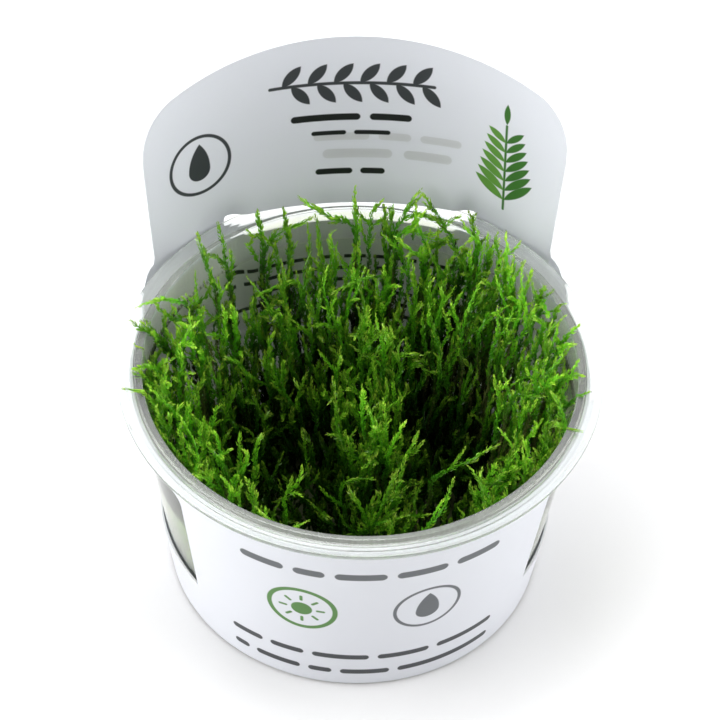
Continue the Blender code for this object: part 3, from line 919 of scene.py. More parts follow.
def sleeve_inside():
    """The side towards the moss: the header's face, and rows of dashes behind the cup's wall."""
    g, ink = sheet_graph("sleeve_inside")
    top = HEADER_OFFSET
    colour = ink.paint((*PAPER, 1.0), back_rows(ink), FAINT_INK)
    heading = [ink.bar(0.0, top + 30.6, 36.0, 0.8)]
    for k in range(6):
        x = -15.0 + 5.6 * k
        heading.append(ink.leaf(x, top + 30.6, 6.4, 2.5, 50.0))
        heading.append(ink.leaf(x + 2.0, top + 30.6, 6.4, 2.5, -50.0))
    colour = ink.paint(colour, ink.both(*heading), DARK_INK)
    lines = ink.both(
        ink.line_of_bars(top + 22.0, 1.7, [(-13.0, 2.0), (4.0, 13.0)]),
        ink.line_of_bars(top + 18.0, 1.1, [(-8.5, -1.0), (0.7, 8.5)]),
        ink.line_of_bars(top + 8.0, 1.5, [(-7.5, 0.5), (2.2, 7.5)]),
    )
    colour = ink.paint(colour, lines, BLACK_INK)
    dark, light = sprig(ink, 34.0, top + 3.0, 22.0, 8.6, 2.1, 7)
    colour = ink.paint(colour, dark, LEAF_INK)
    colour = ink.paint(colour, light, LIGHT_LEAF_INK)
    emblem = ink.both(
        ink.ring(-34.0, top + 16.0, 7.2, 0.8),
        ink.drop(-34.0, top + 14.6, 2.6),
    )
    colour = ink.paint(colour, emblem, DARK_INK)
    # rows of small dashes behind the cup's rear wall, measured from the middle of the back
    back_u = g.math("SUBTRACT", g.math("ABSOLUTE", ink.u), math.pi * BAND_SCALE)
    rear_u = g.math("MULTIPLY", back_u, g.math("SIGN", ink.u))
    row = g.math("DIVIDE", g.math("SUBTRACT", ROWS_TOP, ink.v), ROW_GAP)
    number = g.math("FLOOR", row)
    off_line = g.math("ABSOLUTE", g.math("SUBTRACT", g.math("SUBTRACT", row, number), 0.5))
    place = g.node("ShaderNodeCombineXYZ")
    g.link(g.math("MULTIPLY", rear_u, 0.34), place.inputs[0])
    g.link(g.math("MULTIPLY", number, 7.3), place.inputs[1])
    strokes = g.span(g.noise(place.outputs[0], 1.0, 0.0), 0.43, 0.45)
    dashes = g.math("MULTIPLY", strokes, g.span(off_line, 0.12, 0.17, 1.0, 0.0))
    inside = g.math(
        "MULTIPLY",
        g.span(g.math("ABSOLUTE", rear_u), ROWS_REACH, ROWS_REACH + 0.3, 1.0, 0.0),
        g.math(
            "MULTIPLY",
            g.span(row, -0.05, 0.0),
            g.span(row, ROW_COUNT, ROW_COUNT + 0.05, 1.0, 0.0),
        ),
    )
    colour = ink.paint(colour, g.math("MULTIPLY", dashes, inside), DASH_INK)
    return sheet_shader(g, colour)


def sleeve_outside():
    """The side away from the cup: the printed front panel, and plain rows on the header's back."""
    g, ink = sheet_graph("sleeve_outside")
    colour = (*PAPER, 1.0)
    head = ink.line_of_bars(
        44.3, 2.3, [(-27.0, -17.5), (-15.5, -9.0), (-7.0, 3.5), (5.5, 16.0), (18.0, 28.0)]
    )
    colour = ink.paint(colour, head, GREY_INK)
    low = ink.both(
        ink.line_of_bars(
            11.7, 1.8, [(-32.0, -24.0), (-22.0, -14.0), (-12.0, 1.0), (3.0, 15.0), (17.0, 32.0)]
        ),
        ink.line_of_bars(
            5.6, 1.8, [(-32.0, -28.0), (-26.0, -15.0), (-13.0, -7.5), (-5.5, 6.0), (8.0, 32.0)]
        ),
    )
    colour = ink.paint(colour, low, DARK_INK)
    sun_x, sign_y = -14.0, 29.5
    sun = [ink.ring(sun_x, sign_y, 7.2, 1.1), ink.disc(sun_x, sign_y, 2.3)]
    for k in range(8):
        angle = 45.0 * k
        x = sun_x + 4.1 * math.cos(math.radians(angle))
        y = sign_y + 4.1 * math.sin(math.radians(angle))
        sun.append(ink.bar(x, y, 2.0, 0.7, angle))
    colour = ink.paint(colour, ink.both(*sun), SUN_INK)
    drop = ink.both(
        ink.ring(13.0, sign_y, 7.2, 0.8),
        ink.drop(13.0, sign_y - 1.4, 2.6),
    )
    colour = ink.paint(colour, drop, GREY_INK)
    colour = ink.paint(colour, back_rows(ink), GREY_INK)
    return sheet_shader(g, colour)


def sheet_edge():
    """The sheet's cut edge."""
    g = Graph("sheet_edge")
    fibre = g.noise(g.object_coords(), 3000.0, 2.0)
    colour = g.mix(fibre, (0.62, 0.64, 0.66, 1.0), (0.85, 0.86, 0.88, 1.0))
    return g.finish(g.principled(Base_Color=colour, Roughness=0.6).outputs[0])


# Moss


# Points of each centre line, and the start of the random draws
SAMPLES = 25
SEED = 7

# Distances between the roots of the main, the middle and the low shoots
MAIN_SPACING = 2.9
FILL_SPACING = 3.4
LOW_SPACING = 2.6
ROOT_REACH = 37.5

# Shares of the main shoots kept in the pit and at the rear wall, and of those that nod, and the
# share of all shoots that are old and pale
PIT_SHARE = 0.28
REAR_SHARE = 0.50
NOD_SHARE = 0.36
OLD_SHARE = 0.003

# How much farther out than its root a main shoot's tip is, and how far out it can be
ROOT_TO_TIP = 1.15
TIP_REACH = 43.6

# Numbers of shoots behind the windows and at the rear wall
WINDOW_SHOOTS = 150
REAR_SHOOTS = 90

# Distances between leaves in the leafy top and below it, and between a stem's rings
LEAF_GAP = 0.24
BARE_GAP = 0.5
STEM_GAP = 2.0
SIDE_LEAF_GAP = 0.25
SIDE_BARE_GAP = 0.6
SIDE_STEM_GAP = 2.5
SIDE_LEAFY_LENGTH = 14.0

# A leaf: length and width, and the share of its length at which it is widest
LEAF_LENGTH = 1.22
LEAF_WIDTH = 0.50
LEAF_BELLY = 0.42


def bezier_lines(points):
    """Centre lines from cubic Bezier control points: (n, 4, 3) gives (n, SAMPLES, 3)."""
    t = np.linspace(0.0, 1.0, SAMPLES)
    s = 1.0 - t
    weights = np.stack([s**3, 3 * s * s * t, 3 * s * t * t, t**3], axis=-1)
    return np.einsum("sk,nkd->nsd", weights, points)


def threaded_lines(paths):
    """Centre lines through measured points, evened by distance.

    Each point is averaged twice with its neighbours in the shares 1, 2, 1, so that the corners
    become bends.
    """
    lines = []
    for path in paths:
        path = np.asarray(path, dtype=np.float64)
        run = np.concatenate([[0.0], np.cumsum(np.linalg.norm(np.diff(path, axis=0), axis=1))])
        even = np.linspace(0.0, run[-1], SAMPLES)
        lines.append(np.stack([np.interp(even, run, path[:, k]) for k in range(3)], axis=-1))
    lines = np.array(lines)
    for _ in range(2):
        lines[:, 1:-1] = 0.25 * lines[:, :-2] + 0.5 * lines[:, 1:-1] + 0.25 * lines[:, 2:]
    return lines


class Shoots:
    """Many shoots at once, one row each: centre line, sway, phases, tone, leaf size, age."""

    NAMES = ("line", "sway", "phase", "tone", "width", "young", "old")

    def __init__(self, line, sway, phase, tone, width, young, old):
        self.line = line
        self.sway = sway
        self.phase = phase
        self.tone = tone
        self.width = width
        self.young = young
        self.old = old
        self.length = np.linalg.norm(np.diff(line, axis=1), axis=2).sum(axis=1)

    def place(self, which, t):
        """Centre line from root to tip, plus a sideways sway of two sine waves, 0 at the root."""
        spot = np.clip(t, 0.0, 1.0) * (SAMPLES - 1)
        low = np.minimum(spot.astype(int), SAMPLES - 2)
        share = (spot - low)[:, None]
        point = self.line[which, low] * (1.0 - share) + self.line[which, low + 1] * share
        phase = self.phase[which]
        amount = self.sway[which] * np.minimum(1.0, 4.0 * t)
        run = self.length[which] * t
        point[:, 0] += amount * (
            np.sin(run / 1.25 + phase[:, 0]) * 0.45 + np.sin(run / 2.9 + phase[:, 1])
        )
        point[:, 1] += amount * (
            np.sin(run / 1.45 + phase[:, 1]) * 0.45 + np.sin(run / 2.6 + phase[:, 2])
        )
        return point

    def along(self, which, t):
        """Unit direction of the centre line, from two places close together."""
        ahead = self.place(which, np.minimum(t + 0.012, 1.0))
        behind = self.place(which, np.maximum(t - 0.012, 0.0))
        way = ahead - behind
        return way / np.maximum(np.linalg.norm(way, axis=1, keepdims=True), 1e-9)

    def chosen(self, mask):
        """The shoots where mask is true."""
        return Shoots(*[getattr(self, n)[mask] for n in self.NAMES])


def across(way, turn):
    """A unit vector square to way, turned about it by an angle from a fixed start."""
    start = np.cross(way, np.array([0.37, 0.61, 0.70]))
    start /= np.maximum(np.linalg.norm(start, axis=1, keepdims=True), 1e-9)
    other = np.cross(way, start)
    return start * np.cos(turn)[:, None] + other * np.sin(turn)[:, None]


def leafy(shoots, rng, leaf_gap, bare_gap, leafy_length):
    """Leaves along shoots as folded diamonds of two triangles.

    Stations run down from each tip, leaf_gap apart in the leafy top and bare_gap apart below it.
    A leaf grows from the stem at a narrow angle to it, alternately on two sides with some spread.
    Its corners are its foot, its two widest points at LEAF_BELLY of its length, and its point.
    """
    length = shoots.length
    top = np.minimum(length, leafy_length)
    dense = np.maximum((top / leaf_gap).astype(int), 2)
    sparse = np.maximum(((length - top) / bare_gap).astype(int), 0)
    which = np.repeat(np.arange(len(length)), dense + sparse)
    first = np.repeat(np.cumsum(dense + sparse) - (dense + sparse), dense + sparse)
    order = np.arange(len(which)) - first
    in_top = order < dense[which]
    down = np.where(in_top, order * leaf_gap, top[which] + (order - dense[which]) * bare_gap)
    down = down + rng.uniform(-0.15, 0.15, len(down))
    t = np.clip(1.0 - down / length[which], 0.0, 1.0)
    spot = shoots.place(which, t)
    way = shoots.along(which, t)
    turn = shoots.phase[which, 3] + order * math.pi + rng.normal(0.0, 0.65, len(which))
    turn = turn + np.where(order % 5 == 2, 0.5 * math.pi, 0.0)
    out = across(way, turn)
    side = np.cross(way, out)
    near_tip = np.clip(1.0 - down / 2.0, 0.0, 1.0)
    angle = np.radians(rng.uniform(16.0, 42.0, len(which))) * (1.0 - 0.7 * near_tip)
    size = shoots.width[which] * rng.uniform(0.8, 1.2, len(which)) * (1.0 - 0.35 * near_tip)
    leaf_length = LEAF_LENGTH * size
    leaf_width = LEAF_WIDTH * size
    grow = way * np.cos(angle)[:, None] + out * np.sin(angle)[:, None]
    face = np.cross(side, grow)
    foot = spot + out * 0.06
    curve = rng.uniform(-0.06, 0.20, len(which)) * leaf_length
    belly = foot + grow * (LEAF_BELLY * leaf_length)[:, None]
    belly = belly + face * (0.10 * leaf_length)[:, None]
    left = belly - side * (0.5 * leaf_width)[:, None]
    right = belly + side * (0.5 * leaf_width)[:, None]
    point = foot + grow * leaf_length[:, None] - face * curve[:, None]
    corners = np.stack([foot, left, point, right], axis=1)
    count = len(which)
    base = np.arange(count)[:, None] * 4
    triangles = np.concatenate([base + [0, 3, 2], base + [0, 2, 1]])
    age = np.clip(down / shoots.young[which], 0.0, 1.0)
    tint = np.empty((count, 4, 4))
    tint[:, :, 0] = age[:, None]
    tint[:, :, 1] = (shoots.tone[which] + rng.normal(0.0, 0.28, count))[:, None]
    tint[:, :, 2] = rng.random(count)[:, None]
    tint[:, :, 3] = shoots.old[which][:, None]
    tint[:, 2, 0] = np.clip(tint[:, 2, 0] - 0.06, 0.0, 1.0)
    return corners.reshape(-1, 3), triangles, tint.reshape(-1, 4)


def stems(shoots, gap):
    """Stems as three-sided tubes: rings of three points square to the centre line."""
    segments = np.maximum(np.ceil(shoots.length / gap).astype(int), 2)
    rings = segments + 1
    which = np.repeat(np.arange(len(segments)), rings)
    first = np.cumsum(rings) - rings
    order = np.arange(len(which)) - np.repeat(first, rings)
    t = order / segments[which]
    spot = shoots.place(which, t)
    way = shoots.along(which, t)
    thick = (0.20 - 0.07 * t) * (0.5 + 0.5 * shoots.width[which])
    thick = np.where(order == segments[which], thick * 0.3, thick)
    points = []
    for k in range(3):
        points.append(spot + across(way, np.full(len(which), k * TURN / 3)) * thick[:, None])
    points = np.stack(points, axis=1)
    starts = np.flatnonzero(order < segments[which])
    faces = []
    for k in range(3):
        n = (k + 1) % 3
        a, b = starts * 3 + k, starts * 3 + n
        faces.append(np.stack([a, b, b + 3], axis=-1))
        faces.append(np.stack([a, b + 3, a + 3], axis=-1))
    down = (1.0 - t) * shoots.length[which]
    tint = np.empty((len(which), 3, 4))
    tint[:, :, 0] = np.clip(down / shoots.young[which] + 0.12, 0.0, 1.0)[:, None]
    tint[:, :, 1] = shoots.tone[which][:, None]
    tint[:, :, 2] = 0.35
    tint[:, :, 3] = shoots.old[which][:, None]
    return points.reshape(-1, 3), np.concatenate(faces), tint.reshape(-1, 4)


# The moss stands as a ring against the wall and as a slope at the back. For bearings in degrees
# from the back towards +X: the radii where it begins and where it is full, and its height there
RING = np.array(
    (
        (-180.0, 36.0, 42.0, 45.0),
        (-163.0, 38.0, 43.0, 44.0),
        (-150.0, 32.0, 39.0, 48.0),
        (-135.0, 29.0, 36.0, 51.0),
        (-100.0, 27.0, 34.5, 54.0),
        (-62.0, 20.0, 34.0, 53.0),
        (-40.0, 6.0, 35.0, 49.5),
        (0.0, 5.0, 34.0, 48.5),
        (20.0, 6.0, 36.0, 53.0),
        (40.0, 8.0, 36.0, 56.5),
        (62.0, 22.0, 35.0, 56.5),
        (100.0, 28.5, 36.0, 54.0),
        (135.0, 30.0, 37.0, 51.0),
        (150.0, 32.0, 39.0, 49.0),
        (165.0, 34.0, 41.0, 46.0),
        (180.0, 36.0, 42.0, 45.0),
    )
)
PIT_HEIGHT = 15.0

# The ridge: places from front to back with its heights there, and its middle and half widths
RIDGE_PATH = ((-36.0, -26.0, -8.0, 12.0), (20.0, 36.0, 42.0, 45.0))
RIDGE_MIDDLE = 4.0
RIDGE_RIGHT = 6.5
RIDGE_LEFT = 8.5


def crown(x, y):
    """Usual height of the shoots' tips over a place: the ring and the slope round a deep pit.

    Across the ring it is a smooth step from the pit's height to the ring's. A narrow ridge that
    falls off as exp(-d^4) to both sides runs forward through the pit.
    """
    bearing = np.degrees(np.arctan2(x, y))
    inner, outer, height = (np.interp(bearing, RING[:, 0], RING[:, k]) for k in (1, 2, 3))
    ring = PIT_HEIGHT + (height - PIT_HEIGHT) * smooth_step(inner, outer, np.hypot(x, y))
    ridge_top = np.interp(y, *RIDGE_PATH)
    from_ridge = (x - RIDGE_MIDDLE) / np.where(x > RIDGE_MIDDLE, RIDGE_RIGHT, RIDGE_LEFT)
    ridge = PIT_HEIGHT + (ridge_top - PIT_HEIGHT) * np.exp(-(from_ridge**4))
    return np.maximum(ring, ridge)


def shaken_grid(rng, spacing):
    """Places on a triangular grid over the gel, each moved by up to 0.42 of the spacing."""
    rows = np.arange(-ROOT_REACH, ROOT_REACH, spacing * 0.866)
    cols = np.arange(-ROOT_REACH, ROOT_REACH, spacing)
    y, x = np.meshgrid(rows, cols, indexing="ij")
    x = x + (np.arange(len(rows)) % 2)[:, None] * 0.5 * spacing
    x = x + rng.uniform(-0.42, 0.42, x.shape) * spacing
    y = y + rng.uniform(-0.42, 0.42, y.shape) * spacing
    inside = np.hypot(x, y) < ROOT_REACH
    return x[inside], y[inside]


def scattered_roots(rng, spacing):
    """Roots of the main shoots, thinner in the pit and close to the middle of the rear wall."""
    x, y = shaken_grid(rng, spacing)
    in_pit = crown(1.14 * x, 1.14 * y) < 28.0
    bearing = np.degrees(np.arctan2(x, y))
    at_back = (np.hypot(x, y) > 31.0) & (bearing > -50.0) & (bearing < 14.0)
    wanted = np.where(in_pit, PIT_SHARE, np.where(at_back, REAR_SHARE, 1.0))
    keep = rng.random(x.shape) < wanted
    return x[keep], y[keep]


def grown(rng, line, tone_low, tone_high, width_low, width_high, sway_low, sway_high):
    """A set of shoots on given centre lines, with random tone, leaf size and sway in the ranges."""
    count = len(line)
    return Shoots(
        line,
        rng.uniform(sway_low, sway_high, count),
        rng.uniform(0.0, TURN, (count, 4)),
        rng.uniform(tone_low, tone_high, count),
        rng.uniform(width_low, width_high, count),
        rng.uniform(22.0, 32.0, count),
        np.where(rng.random(count) < OLD_SHARE, 1.0, 0.0),
    )


def upright_shoots(rng, x, y):
    """Main shoots: up from the gel, leaning out with the cup's wall, and some nod at the top."""
    count = len(x)
    angle = rng.uniform(0.0, TURN, count)
    drift = np.abs(rng.normal(0.0, 2.0, count))
    tip_x = x * ROOT_TO_TIP + drift * np.cos(angle)
    tip_y = y * ROOT_TO_TIP + drift * np.sin(angle)
    fit = np.minimum(1.0, TIP_REACH / np.maximum(np.hypot(tip_x, tip_y), 1e-6))
    tip_x, tip_y = tip_x * fit, tip_y * fit
    usual = crown(tip_x, tip_y)
    pit = usual < 24.0
    spread = np.where(pit, rng.uniform(0.0, 16.0, count), rng.normal(-1.2, 4.4, count))
    tip_z = np.clip(usual + spread, 12.0, 60.0)
    root = np.stack([x, y, np.full(count, MOSS_BOTTOM)], axis=-1)
    tip = np.stack([tip_x, tip_y, tip_z], axis=-1)
    rise = tip_z - MOSS_BOTTOM
    lean = rng.normal(0.0, 2.0, (count, 2))
    low = root + np.stack([lean[:, 0], lean[:, 1], 0.36 * rise], axis=-1)
    nods = rng.random(count) < NOD_SHARE
    bend = rng.uniform(0.0, TURN, count)
    reach = np.where(nods, rng.uniform(3.0, 8.0, count), np.abs(rng.normal(0.0, 1.8, count)))
    below = np.where(nods, rng.uniform(-3.0, 3.0, count), 0.30 * rise)
    high = tip - np.stack([reach * np.cos(bend), reach * np.sin(bend), below], axis=-1)
    line = bezier_lines(np.stack([root, low, high, tip], axis=1))
    return grown(rng, line, 0.0, 1.0, 0.84, 1.14, 0.22, 0.60)


def bearing_point(angle, radius, height):
    """Points at an angle from the back towards +X, a radius and a height."""
    return np.stack([radius * np.sin(angle), radius * np.cos(angle), height], axis=-1)


def wall_shoots(rng, count):
    """Shoots that lie against the wall behind the two windows."""
    angle = rng.uniform(math.radians(76.0), math.radians(132.0), count)
    angle = angle * rng.choice([-1.0, 1.0], count)
    foot = rng.uniform(34.0, 38.0, count)
    top = rng.uniform(26.0, 49.0, count)
    reach = cup_outer_radius(top) - WALL - rng.uniform(0.8, 2.6, count)
    turned = angle + rng.normal(0.0, 0.06, count)
    root = bearing_point(angle, foot, np.full(count, MOSS_BOTTOM))
    tip = bearing_point(turned, reach, top)
    middle = 0.5 * (root + tip)
    outward = 1.0 + rng.uniform(0.0, 0.05, count)[:, None]
    low = np.concatenate([middle[:, :2] * outward, (0.6 * middle[:, 2:] + 2.0)], axis=1)
    high = np.concatenate([tip[:, :2] * outward, 0.8 * tip[:, 2:]], axis=1)
    line = bezier_lines(np.stack([root, low, high, tip], axis=1))
    return grown(rng, line, 0.0, 0.7, 0.9, 1.2, 0.15, 0.40)


def rear_shoots(rng, count):
    """Shoots close to the rear wall, most of them to the right of its middle."""
    angle = np.radians(rng.triangular(-52.0, 34.0, 66.0, count))
    foot = rng.uniform(31.0, 37.0, count)
    top = rng.uniform(24.0, 47.0, count) + 6.0 * smooth_step(0.2, 0.5, angle)
    reach = cup_outer_radius(top) - WALL - rng.uniform(1.0, 5.5, count)
    turned = angle + rng.normal(0.0, 0.07, count)
    root = bearing_point(angle, foot, np.full(count, MOSS_BOTTOM))
    tip = bearing_point(turned, reach, top)
    middle = 0.5 * (root + tip)
    bend = rng.normal(0.0, 2.2, (count, 2))
    low = middle + np.stack([bend[:, 0], np.abs(bend[:, 1]) * -0.6, np.zeros(count)], axis=-1)
    high = tip - np.stack([bend[:, 0], bend[:, 1], 0.24 * top], axis=-1)
    line = bezier_lines(np.stack([root, low, high, tip], axis=1))
    return grown(rng, line, 0.0, 0.8, 0.85, 1.15, 0.20, 0.55)


def short_shoots(rng, x, y, shortest, tallest, width_low, width_high):
    """Short growth from the gel, leaning out as the wall does, that hides the bottom and gaps."""
    count = len(x)
    rise = rng.uniform(shortest, tallest, count)
    lean = rng.normal(0.0, 2.5, (count, 2))
    lean += WALL_SLOPE * rise[:, None] * np.stack([x, y], axis=-1) / BASE_RADIUS
    root = np.stack([x, y, np.full(count, MOSS_BOTTOM)], axis=-1)
    tip = root + np.concatenate([lean, rise[:, None]], axis=1)
    low = root + np.stack([np.zeros(count), np.zeros(count), 0.4 * rise], axis=-1)
    high = tip - np.stack([0.6 * lean[:, 0], 0.6 * lean[:, 1], 0.3 * rise], axis=-1)
    line = bezier_lines(np.stack([root, low, high, tip], axis=1))
    return grown(rng, line, 0.0, 0.6, width_low, width_high, 0.15, 0.40)


def under_the_ring(rng, spacing):
    """Places on a shaken grid under the ring, the slope and the ridge, but not in the pit."""
    x, y = shaken_grid(rng, spacing)
    covered = crown(1.12 * x, 1.12 * y) > 36.0
    return x[covered], y[covered]


def side_shoots(rng, parents, per_parent, reach, shortest, longest):
    """Side shoots: from places in the top of their parents, out at an angle and then upwards."""
    count = len(parents.length) * per_parent
    which = np.repeat(np.arange(len(parents.length)), per_parent)
    down = np.minimum(rng.uniform(1.5, reach, count), 0.8 * parents.length[which])
    t = np.clip(1.0 - down / parents.length[which], 0.05, 0.98)
    root = parents.place(which, t)
    way = parents.along(which, t)
    out = across(way, rng.uniform(0.0, TURN, count))
    length = rng.uniform(shortest, longest, count)
    length = np.minimum(length, 0.5 * parents.length[which])
    angle = np.radians(rng.uniform(14.0, 42.0, count))
    go = way * np.cos(angle)[:, None] + out * np.sin(angle)[:, None]
    later = way * np.cos(angle * 0.3)[:, None] + out * np.sin(angle * 0.3)[:, None]
    later = later + rng.normal(0.0, 0.34, (count, 3))
    control = np.stack(
        [
            root,
            root + go * (length * 0.33)[:, None],
            root + go * (length * 0.55)[:, None] + later * (length * 0.10)[:, None],
            root + go * (length * 0.50)[:, None] + later * (length * 0.50)[:, None],
        ],
        axis=1,
    )
    return Shoots(
        bezier_lines(control),
        rng.uniform(0.06, 0.26, count),
        rng.uniform(0.0, TURN, (count, 4)),
        np.clip(parents.tone[which] + rng.normal(0.0, 0.15, count), 0.0, 1.0),
        parents.width[which] * rng.uniform(0.75, 1.0, count),
        np.maximum(10.0, parents.young[which] - 0.5 * down),
        parents.old[which],
    )


# Paths of single shoots from the tip downwards
TALL_SHOOTS = (
    (
        (-33.2, 29.0, 66.9), (-33.2, 28.5, 64.3), (-31.8, 28.0, 61.8), (-31.2, 27.5, 58.6),
        (-29.4, 27.0, 51.9),
    ),
    ((-28.9, 33.0, 65.6), (-28.3, 32.3, 62.7), (-27.7, 31.7, 60.9), (-26.7, 31.0, 53.5)),
    (
        (-20.2, 38.0, 62.2), (-19.2, 37.8, 58.6), (-18.9, 37.5, 56.4), (-19.2, 37.2, 51.7),
        (-19.4, 37.0, 45.3),
    ),
    ((-14.6, 40.0, 62.5), (-14.1, 39.8, 59.1), (-13.7, 39.7, 56.5), (-13.5, 39.5, 52.0)),
    (
        (-10.4, 38.6, 59.4), (-12.5, 38.7, 58.8), (-15.2, 38.8, 57.6), (-16.4, 38.8, 55.5),
        (-17.9, 38.9, 54.1), (-18.9, 39.0, 50.4),
    ),
    ((-16.5, 37.0, 55.3), (-15.5, 36.7, 47.1), (-15.1, 36.3, 40.2), (-14.8, 36.0, 33.1)),
    (
        (-13.2, 39.0, 56.4), (-12.8, 38.5, 54.0), (-13.4, 38.0, 51.3), (-13.3, 37.5, 47.9),
        (-13.3, 37.0, 33.9),
    ),
    (
        (-8.0, 41.0, 62.4), (-5.8, 41.0, 60.5), (-4.0, 41.0, 58.3), (-2.0, 41.0, 57.3),
        (-0.0, 41.0, 57.8), (1.1, 41.0, 56.3), (1.3, 41.0, 52.8),
    ),
    (
        (0.7, 41.5, 63.5), (0.9, 41.0, 59.4), (1.2, 40.5, 55.2), (1.7, 40.0, 50.4),
        (2.2, 39.5, 46.5), (1.8, 39.0, 32.9),
    ),
    ((-9.7, 38.0, 52.8), (-8.7, 37.5, 49.6), (-7.6, 37.0, 41.0)),
    ((-7.3, 38.0, 54.4), (-6.2, 37.5, 50.7), (-5.3, 37.0, 44.9)),
    ((-4.3, 36.0, 48.8), (-4.0, 35.5, 44.9), (-3.8, 35.0, 40.6)),
    (
        (6.6, 41.5, 63.4), (4.5, 40.9, 62.4), (3.5, 40.3, 59.6), (4.7, 39.8, 57.5),
        (4.1, 39.2, 54.7), (3.8, 38.6, 48.1), (4.2, 38.0, 33.9),
    ),
    ((7.1, 41.0, 58.3), (7.1, 40.0, 54.5), (7.7, 39.0, 50.5), (8.5, 38.0, 38.7)),
    ((8.6, 41.5, 61.1), (9.0, 41.1, 58.6), (8.6, 40.8, 55.8), (8.3, 40.4, 52.1), (8.9, 40.0, 42.9)),
    (
        (18.3, 40.5, 57.9), (16.7, 40.3, 59.8), (14.7, 40.2, 60.5), (12.7, 40.0, 60.2),
        (10.7, 39.8, 59.9), (9.3, 39.7, 58.0), (8.7, 39.5, 53.6),
    ),
    (
        (15.0, 39.5, 67.2), (16.1, 38.9, 66.1), (17.4, 38.3, 64.8), (18.1, 37.7, 63.0),
        (18.7, 37.1, 60.4), (20.0, 36.4, 59.0), (21.9, 35.8, 57.7), (23.3, 35.2, 54.0),
        (22.4, 34.6, 51.8), (21.2, 34.0, 47.4),
    ),
    ((18.8, 37.0, 58.4), (18.6, 36.7, 55.1), (18.2, 36.3, 53.0), (18.2, 36.0, 45.4)),
    (
        (19.0, 38.5, 56.1), (17.2, 38.3, 55.0), (15.8, 38.1, 54.5), (14.3, 37.9, 57.0),
        (12.9, 37.6, 58.9), (10.9, 37.4, 59.2), (9.6, 37.2, 56.6), (9.3, 37.0, 50.9),
    ),
    (
        (24.7, 35.5, 65.1), (24.7, 34.9, 63.3), (25.6, 34.3, 61.4), (26.6, 33.6, 59.3),
        (27.3, 33.0, 50.5),
    ),
    ((28.8, 33.0, 61.4), (29.0, 32.3, 59.4), (28.6, 31.7, 57.3), (28.4, 31.0, 50.4)),
    ((31.1, 31.5, 60.6), (29.7, 31.3, 58.8), (29.0, 31.0, 55.1)),
    ((32.9, 28.0, 61.1), (31.7, 27.5, 60.9), (30.5, 27.0, 57.5)),
    ((35.8, 25.0, 60.6), (34.7, 24.0, 59.9), (33.5, 23.0, 56.1)),
    ((37.4, 22.0, 61.3), (36.3, 21.0, 58.8), (35.5, 20.0, 54.2)),
    (
        (-43.1, 16.0, 60.0), (-42.3, 14.9, 62.5), (-40.8, 14.7, 63.0), (-38.6, 16.6, 60.0),
        (-36.0, 21.3, 54.0), (-34.6, 25.0, 47.0),
    ),
    ((-42.5, 15.4, 60.5), (-41.3, 14.7, 57.5), (-38.2, 16.4, 54.0), (-35.0, 20.6, 48.0)),
    (
        (-45.1, 11.7, 59.0), (-43.1, 10.6, 56.5), (-43.0, 10.6, 54.0), (-40.4, 13.6, 49.0),
        (-39.0, 17.2, 43.0),
    ),
    (
        (-46.7, -1.8, 59.5), (-46.0, -1.8, 60.5), (-44.2, -0.4, 58.5), (-41.5, 3.5, 52.0),
        (-39.5, 7.2, 46.0),
    ),
    ((-45.6, -1.7, 58.5), (-44.4, -1.2, 55.0), (-43.2, 0.4, 50.0), (-42.1, 2.0, 45.0)),
    ((-45.7, -7.3, 58.0), (-43.6, -6.7, 56.0), (-42.1, -5.7, 50.0), (-41.4, -4.8, 41.0)),
    ((40.0, 19.2, 59.0), (39.5, 20.1, 55.0), (38.3, 22.5, 47.0)),
    ((45.6, 5.9, 61.0), (44.7, 6.0, 60.0), (43.4, 7.4, 56.0), (42.5, 11.5, 47.0)),
    ((45.5, -6.8, 60.0), (44.3, -6.4, 60.5), (42.7, -2.9, 55.0), (41.6, 1.3, 47.0)),
    ((44.6, 1.3, 60.5), (43.1, 1.5, 61.0), (41.9, 3.4, 57.0), (41.2, 7.8, 48.0)),
    ((42.6, 13.1, 60.0), (41.9, 13.0, 57.0), (41.4, 16.0, 49.0)),
    (
        (27.8, -16.5, 50.0), (23.7, -17.7, 48.0), (19.6, -18.6, 46.0), (16.0, -17.9, 43.0),
        (14.5, -15.9, 38.0),
    ),
    ((4.6, -6.4, 50.0), (5.7, -7.1, 46.0), (5.3, -7.5, 40.0), (4.2, -7.6, 32.0)),
    ((9.0, -8.9, 49.0), (7.6, -10.1, 46.0), (6.1, -10.2, 41.0), (5.2, -9.3, 32.0)),
    ((11.6, -12.0, 49.0), (10.4, -12.9, 46.0), (8.9, -12.5, 41.0), (8.1, -10.5, 32.0)),
    (
        (-20.7, -9.9, 47.0), (-21.6, -12.1, 48.0), (-22.4, -12.8, 44.0), (-21.9, -12.1, 37.0),
        (-23.2, -12.0, 30.0),
    ),
    ((-25.2, -9.3, 47.0), (-25.7, -10.8, 44.0), (-24.8, -11.2, 38.0)),
    ((-15.0, -20.9, 46.0), (-15.6, -21.6, 43.0), (-16.4, -22.0, 38.0)),
    ((29.0, -3.1, 54.0), (28.6, -3.7, 50.0), (29.2, -3.8, 43.0)),
    ((34.4, -8.4, 54.0), (33.4, -8.5, 50.0), (33.0, -8.0, 44.0)),
    ((6.9, -21.0, 48.0), (5.7, -23.0, 46.0), (3.7, -23.9, 42.0), (2.6, -24.1, 35.0)),
    ((-3.1, -24.4, 47.0), (-1.8, -25.4, 43.0), (0.4, -25.9, 38.0), (1.8, -25.1, 32.0)),
    ((19.8, -36.2, 50.0), (17.5, -37.4, 49.0), (15.5, -36.2, 46.0), (14.3, -33.2, 40.0)),
)
